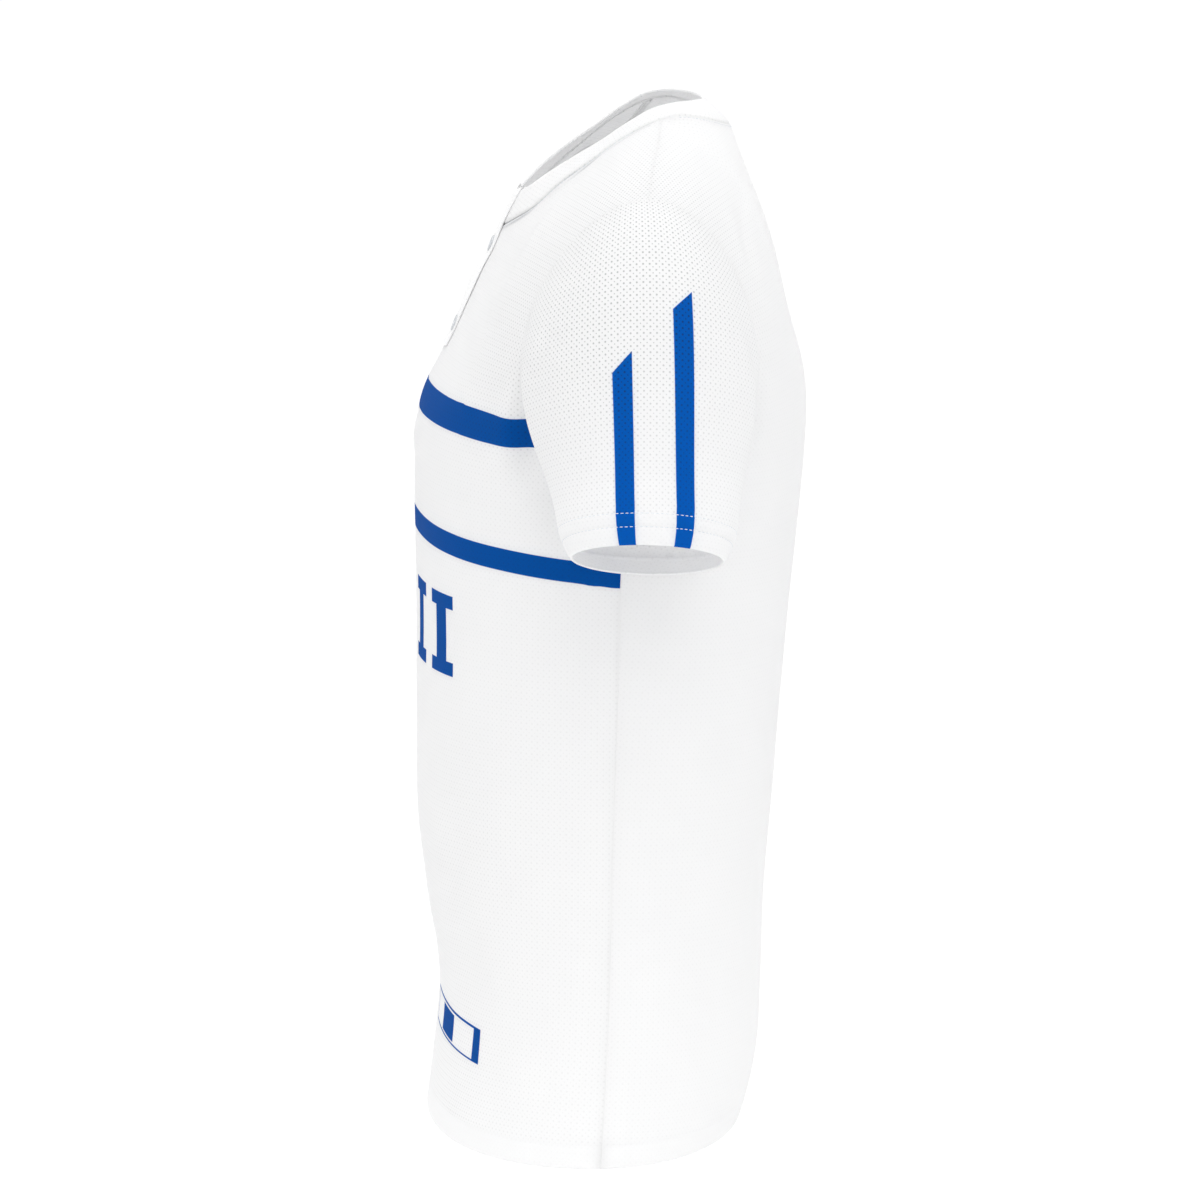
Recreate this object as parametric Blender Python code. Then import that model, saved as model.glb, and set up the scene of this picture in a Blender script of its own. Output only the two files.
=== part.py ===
"""A short-sleeved softball jersey, hollow and filled out as if worn.

The frame: +Z up, the front of the garment towards -Y, the wearer's left towards +X.
The origin is midway between the two shoulder seams, where the shoulders carry it.
Sizes are in metres.
"""
import math
from collections import namedtuple

import bmesh
import bpy
import numpy as np

# ---------------------------------------------------------------- driving sizes
CLOTH = 0.0020               # wall of the panels and the sleeves
BAND_CLOTH = 0.0026          # the neck band: two layers and their seam
PLACKET_CLOTH = 0.0014       # each strip of the placket
SEAM_GAP = 0.0003            # clear width of every seam
LAYER_GAP = 0.0003           # clear space under a piece that lies on another

HEM_Z = -0.6765              # the hem, below the high point of the shoulder
UNDERARM_Z = -0.205
NECK_CENTRE_Z = 0.0219       # where the two shoulder lines would meet over the neck
SHOULDER_CENTRE_Y = 0.0171
SHOULDER_POINT = (0.200, -0.009, -0.0435)
NECK_HALF_WIDTH = 0.0775     # to the high point of the shoulder
BACK_NECK_Y, FRONT_NECK_Y = 0.0562, -0.0955

# The middle of the front and of the back, from the hem up to the shoulder line. Above
# the neckline these two lines go on over the neck, where no cloth is.
Level = namedtuple("Level", "name height front_y back_y")
CENTRE = [
    Level("hem", HEM_Z, -0.1460, 0.0625),
    Level("low hip", -0.638, -0.1415, 0.0732),
    Level("hip", -0.588, -0.1372, 0.0767),
    Level("high hip", -0.528, -0.1455, 0.0780),
    Level("waist", -0.459, -0.1523, 0.0838),
    Level("midriff", -0.369, -0.1523, 0.0915),
    Level("under chest", -0.270, -0.1522, 0.1012),
    Level("chest", -0.225, -0.1542, 0.1056),
    Level("underarm", UNDERARM_Z, -0.1512, 0.1065),
    Level("bust", -0.1925, -0.1462, 0.1060),
    Level("upper chest", -0.165, -0.1342, 0.1022),
    Level("placket middle", -0.125, -0.1150, 0.0905),
    Level("front neck", -0.084, FRONT_NECK_Y, 0.0812),
    Level("blade", -0.045, -0.0750, 0.0662),
    Level("back neck", -0.0145, -0.0480, BACK_NECK_Y),
    Level("nape", 0.008, -0.0150, 0.0440),
    Level("shoulder line", NECK_CENTRE_Z, SHOULDER_CENTRE_Y, SHOULDER_CENTRE_Y),
]
Side = namedtuple("Side", "name height x y")
SIDE_SEAM = [
    Side("hem", HEM_Z, 0.205, -0.040),
    Side("hip", -0.590, 0.200, -0.035),
    Side("waist", -0.460, 0.191, -0.031),
    Side("midriff", -0.370, 0.190, -0.028),
    Side("under chest", -0.270, 0.192, -0.025),
    Side("underarm", UNDERARM_Z, 0.192, -0.018),
]
# How square a level row of the body is: how far the flat of the middle goes towards
# the side, and how far the side goes round towards the middle, as parts of the way.
FLAT = {"front": 0.66, "back": 0.62}
TURN = {"front": 0.62, "back": 0.60}
HEM_ROUNDER = {"front": 0.04, "back": 0.12}      # how much less square it is at the hem

ARMHOLE_MID_X = 0.168        # the armhole's front and back edges, nearest the chest
ARMHOLE_REACH = 0.072        # from its middle line to those edges
ARMHOLE_EGG = 0.22           # how much narrower it is at the shoulder than below

SLEEVE_TILT = math.radians(21)       # the cuff's plane against the level
SLEEVE_LEAN = -0.02                  # how far forward the sleeve's axis leans
CUFF_MIDDLE = (0.2515, -0.0120, -0.2697)
CUFF_ACROSS = 0.0510                 # half the sleeve's width above its hem, side to side
CUFF_DEEP = 0.0565                   # and front to back
CUFF_ROLL = 0.04                     # how much higher its front edge is than its back
CUFF_DRAW_IN = 0.14                  # how much narrower the cuff's edge is than that
HEM_DEPTH = 0.024                    # length over which the sleeve draws in
# Where the sleeve heads as it leaves the armhole: over the shoulder, at the front and
# back, at the underarm, and forward. Then how long it comes in line with the cuff.
LEAVE_TOP = np.array([0.070, 0.0, -0.026])
LEAVE_SIDE = np.array([0.022, 0.0, -0.020])
LEAVE_UNDER = np.array([0.014, 0.0, -0.022])
LEAVE_BULGE = np.array([0.0, -0.012, 0.0])
ARRIVE_TOP, ARRIVE_UNDER = 0.090, 0.030
SLEEVE_SPREAD = 0.6                  # 1 spaces its rows evenly, 0 closest at the cuff

# The neck seam and the band's top edge are ovals seen from above. Their heights are
# given by how far round they are, in degrees from the front's middle to the back's.
Oval = namedtuple("Oval", "half_width front_y widest_y back_y")
SEAM_OVAL = Oval(NECK_HALF_WIDTH, FRONT_NECK_Y, 0.0070, BACK_NECK_Y)
BAND_OVAL = Oval(0.0530, -0.0845, -0.0030, 0.0384)
BAND_SWING = math.radians(8)         # how far its edge is turned back over the shoulder
BAND_CROWN = 0.0006                  # how far it bows out between its edges
Stop = namedtuple("Stop", "degrees height")
SEAM_STOPS = [
    Stop(0, -0.0820),
    Stop(17, -0.0760),
    Stop(37, -0.0631),
    Stop(54, -0.0417),
    Stop(67, -0.0270),
    Stop(82, -0.0088),
    Stop(90, -0.0034),
    Stop(103, -0.0014),
    Stop(120, -0.0035),
    Stop(150, -0.0098),
    Stop(180, -0.0147),
]
BAND_STOPS = [
    Stop(0, -0.0582),
    Stop(20, -0.0540),
    Stop(51, -0.0340),
    Stop(71, -0.0182),
    Stop(84, -0.0060),
    Stop(92, -0.0003),
    Stop(103, 0.0026),
    Stop(122, 0.0047),
    Stop(145, 0.0048),
    Stop(180, 0.0027),
]

PLACKET_HALF = 0.013
PLACKET_BOTTOM_Z = -0.165
PLACKET_ACROSS = PLACKET_HALF * np.arange(-2, 3) / 2
BUTTON_RADIUS = 0.0055
BUTTON_THICK = 0.0015
BUTTON_SIDES = 20
BUTTON_HEIGHTS = (-0.0935, -0.1465)
Turned = namedtuple("Turned", "name radius level")
BUTTON_PROFILE = [
    Turned("dish", 0.50, 0.55),
    Turned("dish edge", 0.66, 0.62),
    Turned("rim inside", 0.74, 0.95),
    Turned("rim top", 0.88, 1.00),
    Turned("rim outside", 1.00, 0.70),
    Turned("edge", 1.00, 0.30),
    Turned("back", 0.85, 0.00),
]

# Soft troughs and dents that the cloth falls into, between two points of a panel, each given by
# how far across it is and how far up, as the body function counts them.
Fold = namedtuple("Fold", "name face side across rise to_across to_rise width depth")
FOLDS = [
    Fold("left front armpit", "front", 1, 0.93, 1.08, 0.62, 0.86, 0.024, 0.0045),
    Fold("right front armpit", "front", -1, 0.92, 1.10, 0.58, 0.90, 0.026, 0.0040),
    Fold("left back armpit", "back", 1, 0.90, 1.02, 0.88, 1.34, 0.022, 0.0055),
    Fold("right back armpit", "back", -1, 0.91, 1.00, 0.86, 1.30, 0.024, 0.0050),
    Fold("left collar bone", "front", 1, 0.45, 1.82, 0.62, 1.70, 0.034, 0.0060),
    Fold("right collar bone", "front", -1, 0.45, 1.82, 0.62, 1.70, 0.034, 0.0060),
    Fold("top button", "front", 1, 0.00, 1.49, 0.00, 1.50, 0.011, 0.0022),
    Fold("lower button", "front", 1, 0.00, 1.255, 0.00, 1.265, 0.011, 0.0020),
]

NECK_COLUMNS = 6             # half a panel's columns from the placket's edge to the shoulder
SHOULDER_COLUMNS = 8         # and from there to the side
BODY_ROWS = 17               # from the hem to the underarm
ARM_ROWS = 14                # from the underarm to the shoulder
SLEEVE_ROWS = 13
BAND_ROWS = 4
SETTLE_BELOW = 5             # rows below the underarm that the smoothing reaches
SETTLE_PASSES = 25
SETTLE_IN, SETTLE_OUT = 0.60, -0.62

CLOTH_WHITE = "F4F5F7"
CLOTH_ROUGHNESS = 0.85
PEARL_GREY = "D2D2D0"
PEARL_ROUGHNESS = 0.35
SMOOTH_BELOW = math.radians(40)      # edges flatter than this are shaded smooth
MIRROR = np.array([-1, 1, 1])


# ---------------------------------------------------------------- small helpers
def flow(knots, values, at):
    """A smooth curve through the values at rising knots, which never overshoots."""
    knots, values, at = (np.asarray(a, float) for a in (knots, values, at))
    step = np.diff(knots)
    rise = np.diff(values) / step
    before = np.concatenate([rise[:1], rise])
    after = np.concatenate([rise, rise[-1:]])
    limit = 3 * np.minimum(abs(before), abs(after))
    slope = np.where(before * after > 0, np.clip((before + after) / 2, -limit, limit), 0)
    i = np.clip(np.searchsorted(knots, at) - 1, 0, len(step) - 1)
    s = (at - knots[i]) / step[i]
    return (
        values[i] * (1 + 2 * s) * (1 - s) ** 2
        + values[i + 1] * s**2 * (3 - 2 * s)
        + step[i] * (slope[i] * s * (1 - s) ** 2 - slope[i + 1] * s**2 * (1 - s))
    )


def column(table, field):
    return [getattr(row, field) for row in table]


def point(x, y, z):
    return np.stack(np.broadcast_arrays(*(np.asarray(v, float) for v in (x, y, z))), -1)


def bezier(a, b, c, d, s):
    s = np.asarray(s, float)[..., None]
    return a * (1 - s) ** 3 + 3 * b * s * (1 - s) ** 2 + 3 * c * s**2 * (1 - s) + d * s**3


def ease(s):
    s = np.clip(s, 0, 1)
    return s * s * (3 - 2 * s)


def unit(v):
    return v / np.maximum(np.linalg.norm(v, axis=-1, keepdims=True), 1e-12)


def normals(grid, ring):
    """Outward normals of a grid whose rows go up and whose columns go to the left."""
    along = np.gradient(grid, axis=0)
    if ring:
        around = np.roll(grid, -1, 1) - np.roll(grid, 1, 1)
    else:
        around = np.gradient(grid, axis=1)
    return unit(np.cross(around, along))


# ---------------------------------------------------------------- the body's form
def armhole(face, angle):
    """The seam where the sleeve is set in; angle 0 is the shoulder, pi the underarm."""
    up = (1 + np.cos(angle)) / 2
    down = 1 - up
    sx, sy, sz = SHOULDER_POINT
    under = SIDE_SEAM[-1]
    x = ARMHOLE_MID_X + (sx - ARMHOLE_MID_X) * up**2 + (under.x - ARMHOLE_MID_X) * down**2
    reach = ARMHOLE_REACH * np.sin(angle) * (1 - ARMHOLE_EGG * np.cos(angle))
    y = sy * up + under.y * down + (-reach if face == "front" else reach)
    return point(x, y, sz * up + under.height * down)


def body(face, across, rise):
    """A point of the body: across 0 to 1 from the middle to the side, rise 0 to 1 from
    the hem to the underarm and 1 to 2 from there to the shoulder line."""
    across, rise = np.broadcast_arrays(np.asarray(across, float), np.asarray(rise, float))
    arm = np.clip(rise - 1, 0, 1)
    low = HEM_Z + (UNDERARM_Z - HEM_Z) * np.clip(rise, 0, 1)
    height = low + (NECK_CENTRE_Z - UNDERARM_Z) * arm
    middle = point(0, flow(column(CENTRE, "height"), column(CENTRE, face + "_y"), height), height)
    seam = column(SIDE_SEAM, "height")
    side = point(
        flow(seam, column(SIDE_SEAM, "x"), low), flow(seam, column(SIDE_SEAM, "y"), low), low
    )
    above = (rise > 1)[..., None]
    side = np.where(above, armhole(face, math.pi * (1 - arm)), side)
    inner = ease(2 * arm - 1) / 3
    outer = ease(arm) / 3
    square = 1 - HEM_ROUNDER[face] * np.clip(1 - 2 * rise, 0, 1)
    flat = square * FLAT[face] + (1 / 3 - FLAT[face]) * 3 * inner
    turn = square * TURN[face] + (1 / 3 - TURN[face]) * 3 * outer
    run = side - middle
    one = middle + run * np.stack([flat, inner, inner], -1)
    two = side - run * np.stack([outer, turn, outer], -1)
    return bezier(middle, one, two, side, across)


def oval(shape, stops, turn):
    """A point of an oval round the neck, turned by an angle from the front's middle."""
    up = np.cos(turn)
    depth = np.where(up > 0, shape.widest_y - shape.front_y, shape.back_y - shape.widest_y)
    height = flow(column(stops, "degrees"), column(stops, "height"), np.degrees(turn))
    return point(shape.half_width * np.sin(turn), shape.widest_y - depth * up, height)


def neck_turns():
    """How far round the neck half a front's columns are: two within the placket's
    edge, and the rest evenly on to the shoulder seam."""
    edge = math.asin(PLACKET_HALF / NECK_HALF_WIDTH)
    return np.concatenate([[0, edge / 2], np.linspace(edge, math.pi / 2, NECK_COLUMNS + 1)])


def reach(face, across, height):
    """How far up its column the body reaches a height, found by halving."""
    low, high = np.ones_like(across), np.full_like(across, 2.0)
    for _ in range(30):
        mid = (low + high) / 2
        under = body(face, across, mid)[..., 2] < height
        low, high = np.where(under, mid, low), np.where(under, high, mid)
    return low


def panel_columns():
    """The columns of half a panel, from 0 in the middle to 1 at the side."""
    shoulder = NECK_HALF_WIDTH / SHOULDER_POINT[0]
    edge = PLACKET_HALF * 3 / SHOULDER_POINT[0] / 5
    neck = np.concatenate([[0, edge / 2], np.linspace(edge, shoulder, NECK_COLUMNS + 1)])
    return neck, np.linspace(shoulder, 1, SHOULDER_COLUMNS + 1)[1:]


def panel_grid(face):
    """The outer face of a panel: rows from the hem up, columns from right to left."""
    neck, shoulder = panel_columns()
    turns = neck_turns()
    seam = oval(SEAM_OVAL, SEAM_STOPS, turns if face == "front" else math.pi - turns)
    half = np.concatenate([neck, shoulder])
    top = np.concatenate([reach(face, neck, seam[:, 2]), np.full(len(shoulder), 2.0)])
    top[len(neck) - 1] = 2
    low = np.repeat(np.arange(BODY_ROWS)[:, None] / BODY_ROWS, len(half), 1)
    up = np.arange(ARM_ROWS + 1)[:, None] / ARM_ROWS
    grid = body(face, half, np.concatenate([low, 1 + up * (top - 1)]))
    grid[BODY_ROWS:, : len(neck)] += ease(up)[..., None] * (seam - grid[-1, : len(neck)])
    grid = folded(face, settle(np.concatenate([grid[:, :0:-1] * MIRROR, grid], 1)))
    if face == "front":
        for row in grid[placket_foot(grid) - 1 : -1]:
            row[placket_columns(grid)] = on_row(row, PLACKET_ACROSS)
    return grid


def settle(grid):
    """Evens out the creases above the chest, with the seams held. Each pass that
    smooths is followed by one that swells, so the form doesn't shrink."""
    first = BODY_ROWS - SETTLE_BELOW
    for share in (SETTLE_IN, SETTLE_OUT) * SETTLE_PASSES:
        middle = grid[first:-1, 1:-1]
        near = grid[first - 1 : -2, 1:-1] + grid[first + 1 :, 1:-1]
        near = near + grid[first:-1, :-2] + grid[first:-1, 2:]
        grid[first:-1, 1:-1] = middle + share * (near / 4 - middle)
    return grid


def folded(face, grid):
    """Lets the cloth fall into its troughs, which fade out at the seams."""
    rows, cols = grid.shape[:2]
    r = np.arange(rows)[:, None]
    c = np.arange(cols)[None, :]
    inside = np.minimum(np.minimum(r, rows - 1 - r), np.minimum(c, cols - 1 - c))
    hold = ease(inside / 2)
    out = normals(grid, False) * (1 if face == "front" else -1)
    depth = np.zeros((rows, cols))
    for fold in FOLDS:
        if fold.face == face:
            mirror = np.array([fold.side, 1, 1])
            start = body(face, fold.across, fold.rise) * mirror
            end = body(face, fold.to_across, fold.to_rise) * mirror
            line = end - start
            along = np.clip((grid - start) @ line / (line @ line), 0, 1)
            off = np.linalg.norm(grid - start - along[..., None] * line, axis=-1)
            depth += fold.depth * np.exp(-((off / fold.width) ** 2)) * (1 - ease(along) / 2)
    return grid - out * (depth * hold)[..., None]


def placket_columns(grid):
    return grid.shape[1] // 2 + np.arange(-2, 3)


def placket_foot(grid):
    return int(np.argmin(abs(grid[:, grid.shape[1] // 2, 2] - PLACKET_BOTTOM_Z)))


def on_row(row, x):
    """The points of a row, which runs from right to left, at some distances across."""
    near = row[abs(row[:, 0]) < 4 * PLACKET_HALF]
    near = near[np.argsort(near[:, 0])]
    return point(x, np.interp(x, near[:, 0], near[:, 1]), np.interp(x, near[:, 0], near[:, 2]))


# ---------------------------------------------------------------- sleeves and band
def sleeve_grid():
    """The left sleeve's outer face: rows from the cuff up to the armhole, columns round
    the arm."""
    half = math.pi * np.arange(ARM_ROWS + 1) / ARM_ROWS
    ring = np.concatenate([armhole("front", half), armhole("back", half[-2::-1])])
    angle = np.concatenate([half, 2 * math.pi - half[-2::-1]])
    up, front = np.cos(angle), np.sin(angle)
    high, low = ((1 + up) / 2)[:, None], ((1 - up) / 2)[:, None]
    outward = point(math.cos(SLEEVE_TILT), 0, math.sin(SLEEVE_TILT))
    axis = point(math.sin(SLEEVE_TILT), SLEEVE_LEAN, -math.cos(SLEEVE_TILT))
    cuff = (
        point(*CUFF_MIDDLE)
        + outward * (CUFF_ACROSS * up)[:, None]
        + point(0, -1, CUFF_ROLL) * (CUFF_DEEP * front)[:, None]
    )
    leave = LEAVE_TOP * high**1.5 + LEAVE_UNDER * low**2
    leave = leave + LEAVE_SIDE * (front**2)[:, None] + LEAVE_BULGE * front[:, None]
    arrive = axis * (ARRIVE_UNDER + (ARRIVE_TOP - ARRIVE_UNDER) * high)
    rows = []
    for s in np.arange(SLEEVE_ROWS + 1) / SLEEVE_ROWS:
        s = SLEEVE_SPREAD * s + (1 - SLEEVE_SPREAD) * (1 - (1 - s) ** 2)
        rows.append(bezier(ring, ring + leave, cuff - arrive, cuff, np.full(len(ring), s)))
    grid = np.array(rows)
    length = np.linalg.norm(np.diff(grid, axis=0), axis=2)
    to_edge = np.concatenate([np.cumsum(length[::-1], 0)[::-1], np.zeros((1, len(ring)))])
    draw = CUFF_DRAW_IN * np.clip(1 - to_edge / HEM_DEPTH, 0, 1) ** 2
    grid = grid + (grid.mean(1, keepdims=True) - grid) * draw[..., None]
    return grid[::-1, -2::-1]


def band_grid():
    """The neck band's outer face: rows from the seam up, closed round the neck."""
    half = neck_turns()
    left = np.concatenate([half, math.pi - half[-2::-1]])
    seam = oval(SEAM_OVAL, SEAM_STOPS, left)
    edge = oval(BAND_OVAL, BAND_STOPS, left + BAND_SWING * np.sin(left) ** 2)
    rows = []
    for s in np.arange(BAND_ROWS + 1) / BAND_ROWS:
        row = seam + (edge - seam) * s
        row[:, 2] += BAND_CROWN * 4 * s * (1 - s)
        rows.append(np.concatenate([row, row[-2:0:-1] * MIRROR]))
    return np.array(rows)


def placket_grid(front, band):
    """The placket lies on the front's middle columns and on the band's front."""
    panel = front[placket_foot(front) :, placket_columns(front)]
    collar = [on_row(row[row[:, 1] < 0], PLACKET_ACROSS) for row in band[1:]]
    return np.concatenate([panel, collar])


# ---------------------------------------------------------------- solids
Piece = namedtuple("Piece", "name grid normal ring thick")


def seam_key(p):
    return tuple(np.round(p, 5))


def edge_points(piece):
    rows, cols = piece.grid.shape[:2]
    for r in range(rows):
        for c in range(cols):
            if r in (0, rows - 1) or (not piece.ring and c in (0, cols - 1)):
                yield r, c


def share_seams(pieces):
    """Gives the points that two pieces share one normal, so that their walls meet."""
    found = {}
    for piece in pieces:
        for r, c in edge_points(piece):
            found.setdefault(seam_key(piece.grid[r, c]), []).append(piece.normal[r, c].copy())
    for piece in pieces:
        for r, c in edge_points(piece):
            piece.normal[r, c] = unit(np.sum(found[seam_key(piece.grid[r, c])], 0))
    return {key for key, value in found.items() if len(value) > 1}


def cloth(piece, shared):
    """A closed wall: the grid is its outer face, drawn back a little at each seam."""
    outer = piece.grid.copy()
    rows, cols = outer.shape[:2]
    for r, c in edge_points(piece):
        if seam_key(piece.grid[r, c]) in shared:
            near_r = min(max(r, 1), rows - 2)
            near_c = c if piece.ring else min(max(c, 1), cols - 2)
            back = piece.grid[near_r, near_c] - piece.grid[r, c]
            normal = piece.normal[r, c]
            back = unit(back - normal * np.dot(back, normal))
            outer[r, c] += back * SEAM_GAP * 0.55
    solid(piece.name, outer, outer - piece.normal * piece.thick, piece.ring)


def laid(name, grid, clearance):
    """A strip that lies on the front, or behind it where the clearance is less than 0."""
    normal = normals(grid, False)
    inner = grid + normal * clearance
    solid(name, inner + normal * PLACKET_CLOTH, inner, False)


def solid(name, outer, inner, ring):
    rows, cols = outer.shape[:2]
    mesh = bmesh.new()
    front = [[mesh.verts.new(p) for p in row] for row in outer]
    back = [[mesh.verts.new(p) for p in row] for row in inner]
    spans = [(c, (c + 1) % cols) for c in range(cols if ring else cols - 1)]
    for r in range(rows - 1):
        for a, b in spans:
            mesh.faces.new([front[r][a], front[r][b], front[r + 1][b], front[r + 1][a]])
            mesh.faces.new([back[r][a], back[r + 1][a], back[r + 1][b], back[r][b]])
    for r in (0, rows - 1):
        for a, b in spans:
            mesh.faces.new([front[r][a], front[r][b], back[r][b], back[r][a]])
    for c in () if ring else (0, cols - 1):
        for r in range(rows - 1):
            mesh.faces.new([front[r][c], front[r + 1][c], back[r + 1][c], back[r][c]])
    finish(name, mesh, CLOTH_WHITE, CLOTH_ROUGHNESS)


def button(name, centre, out):
    """A turned disc with a raised rim and a dished middle."""
    x = unit(np.cross([0, 0, 1.0], out))
    y = np.cross(out, x)
    turn = 2 * math.pi * np.arange(BUTTON_SIDES) / BUTTON_SIDES
    around = np.cos(turn)[:, None] * x + np.sin(turn)[:, None] * y
    mesh = bmesh.new()
    rings = []
    for step in BUTTON_PROFILE:
        ring = centre + around * step.radius * BUTTON_RADIUS + out * step.level * BUTTON_THICK
        rings.append([mesh.verts.new(p) for p in ring])
    for low, high in zip(rings, rings[1:]):
        for i in range(BUTTON_SIDES):
            j = (i + 1) % BUTTON_SIDES
            mesh.faces.new([low[i], low[j], high[j], high[i]])
    mesh.faces.new(rings[0])
    mesh.faces.new(rings[-1])
    finish(name, mesh, PEARL_GREY, PEARL_ROUGHNESS)


def finish(name, mesh, colour, roughness):
    bmesh.ops.triangulate(mesh, faces=mesh.faces)
    bmesh.ops.recalc_face_normals(mesh, faces=mesh.faces)
    data = bpy.data.meshes.new(name)
    mesh.to_mesh(data)
    mesh.free()
    data.shade_smooth()
    data.set_sharp_from_angle(angle=SMOOTH_BELOW)
    data.materials.append(material(name, colour, roughness))
    bpy.context.scene.collection.objects.link(bpy.data.objects.new(name, data))


def material(name, colour, roughness):
    made = bpy.data.materials.new(name)
    made.use_nodes = True
    shader = made.node_tree.nodes["Principled BSDF"]
    parts = [int(colour[i : i + 2], 16) / 255 for i in (0, 2, 4)]
    linear = [p / 12.92 if p < 0.04045 else ((p + 0.055) / 1.055) ** 2.4 for p in parts]
    shader.inputs["Base Color"].default_value = (*linear, 1)
    shader.inputs["Roughness"].default_value = roughness
    shader.inputs["Metallic"].default_value = 0.0
    return made


def main():
    for old in list(bpy.data.objects):
        bpy.data.objects.remove(old, do_unlink=True)
    front, back = panel_grid("front"), panel_grid("back")[:, ::-1]
    left = sleeve_grid()
    right = (left * MIRROR)[:, ::-1]
    band = band_grid()
    pieces = [
        Piece("front_panel", front, normals(front, False), False, CLOTH),
        Piece("back_panel", back, normals(back, False), False, CLOTH),
        Piece("sleeve_left", left, normals(left, True), True, CLOTH),
        Piece("sleeve_right", right, normals(right, True), True, CLOTH),
        Piece("neck_band", band, normals(band, True), True, BAND_CLOTH),
    ]
    shared = share_seams(pieces)
    for piece in pieces:
        cloth(piece, shared)
    strip = placket_grid(front, band)
    laid("placket_top", strip, LAYER_GAP)
    laid("placket_under", strip, -LAYER_GAP - PLACKET_CLOTH - BAND_CLOTH)
    middle, normal = strip[:, 2], normals(strip, False)[:, 2]
    for number, height in enumerate(BUTTON_HEIGHTS, 1):
        spot = np.array([np.interp(height, middle[:, 2], middle[:, axis]) for axis in range(3)])
        out = unit(np.array([np.interp(height, middle[:, 2], normal[:, axis]) for axis in range(3)]))
        button(f"button_{number}", spot + out * (2 * LAYER_GAP + PLACKET_CLOTH), out)


main()
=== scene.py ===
# %% [markdown]
# # A softball jersey, sewn from its panels
# The object is a short-sleeved, two-button jersey in white pin-dot mesh, filled out as if
# someone wore it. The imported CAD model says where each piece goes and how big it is. It
# could be dressed by hand from flat patterns in a cloth simulation, but then it would no
# longer lie where the CAD model lies. So this script works out the same surfaces again,
# lays a finer grid on them, and gives that grid its seams, hems, folds and stitches.

# %% Load the frame
import math
from collections import namedtuple

import bpy
import numpy as np
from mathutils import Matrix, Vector
from mathutils.kdtree import KDTree


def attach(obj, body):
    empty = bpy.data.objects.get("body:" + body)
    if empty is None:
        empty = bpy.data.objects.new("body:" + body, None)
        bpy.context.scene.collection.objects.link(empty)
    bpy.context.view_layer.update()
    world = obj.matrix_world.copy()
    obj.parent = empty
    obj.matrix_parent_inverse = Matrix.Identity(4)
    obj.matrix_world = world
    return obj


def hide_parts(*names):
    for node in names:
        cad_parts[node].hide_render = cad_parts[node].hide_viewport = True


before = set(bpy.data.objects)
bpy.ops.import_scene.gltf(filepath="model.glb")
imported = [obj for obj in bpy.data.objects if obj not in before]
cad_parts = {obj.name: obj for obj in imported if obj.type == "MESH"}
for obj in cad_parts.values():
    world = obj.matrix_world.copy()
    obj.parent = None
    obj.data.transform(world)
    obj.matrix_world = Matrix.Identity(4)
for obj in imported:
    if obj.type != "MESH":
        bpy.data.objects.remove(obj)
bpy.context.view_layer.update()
bpy.ops.object.select_all(action="DESELECT")
print("CAD nodes:", sorted(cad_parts))

# %% [markdown]
# ## The cut of the jersey
# A pattern maker knows a garment by a few levels: where the hem, hip, waist, chest and
# neck are, and how far out the cloth is at each. These are the same tables as in the CAD
# source, in metres: +Z is up, the front is towards -Y and the wearer's left is +X.

# %% Sizes and levels
HEM_Z, UNDERARM_Z = -0.6765, -0.205
NECK_CENTRE_Z, SHOULDER_CENTRE_Y = 0.0219, 0.0171
SHOULDER_POINT = (0.200, -0.009, -0.0435)
NECK_HALF_WIDTH = 0.0775
BACK_NECK_Y, FRONT_NECK_Y = 0.0562, -0.0955
Level = namedtuple("Level", "name height front_y back_y")
CENTRE = [
    Level("hem", HEM_Z, -0.1460, 0.0625),
    Level("low hip", -0.638, -0.1415, 0.0732),
    Level("hip", -0.588, -0.1372, 0.0767),
    Level("high hip", -0.528, -0.1455, 0.0780),
    Level("waist", -0.459, -0.1523, 0.0838),
    Level("midriff", -0.369, -0.1523, 0.0915),
    Level("under chest", -0.270, -0.1522, 0.1012),
    Level("chest", -0.225, -0.1542, 0.1056),
    Level("underarm", UNDERARM_Z, -0.1512, 0.1065),
    Level("bust", -0.1925, -0.1462, 0.1060),
    Level("upper chest", -0.165, -0.1342, 0.1022),
    Level("placket middle", -0.125, -0.1150, 0.0905),
    Level("front neck", -0.084, FRONT_NECK_Y, 0.0812),
    Level("blade", -0.045, -0.0750, 0.0662),
    Level("back neck", -0.0145, -0.0480, BACK_NECK_Y),
    Level("nape", 0.008, -0.0150, 0.0440),
    Level("shoulder line", NECK_CENTRE_Z, SHOULDER_CENTRE_Y, SHOULDER_CENTRE_Y),
]
Side = namedtuple("Side", "name height x y")
SIDE_SEAM = [
    Side("hem", HEM_Z, 0.205, -0.040),
    Side("hip", -0.590, 0.200, -0.035),
    Side("waist", -0.460, 0.191, -0.031),
    Side("midriff", -0.370, 0.190, -0.028),
    Side("under chest", -0.270, 0.192, -0.025),
    Side("underarm", UNDERARM_Z, 0.192, -0.018),
]
# How square a level row of the body is: how far the flat of the middle goes towards
# the side, and how far the side goes round towards the middle, as parts of the way.
FLAT = {"front": 0.66, "back": 0.62}
TURN = {"front": 0.62, "back": 0.60}
HEM_ROUNDER = {"front": 0.04, "back": 0.12}      # how much less square it is at the hem

ARMHOLE_MID_X = 0.168        # the armhole's front and back edges, nearest the chest
ARMHOLE_REACH = 0.072        # from its middle line to those edges
ARMHOLE_EGG = 0.22           # how much narrower it is at the shoulder than below

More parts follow.
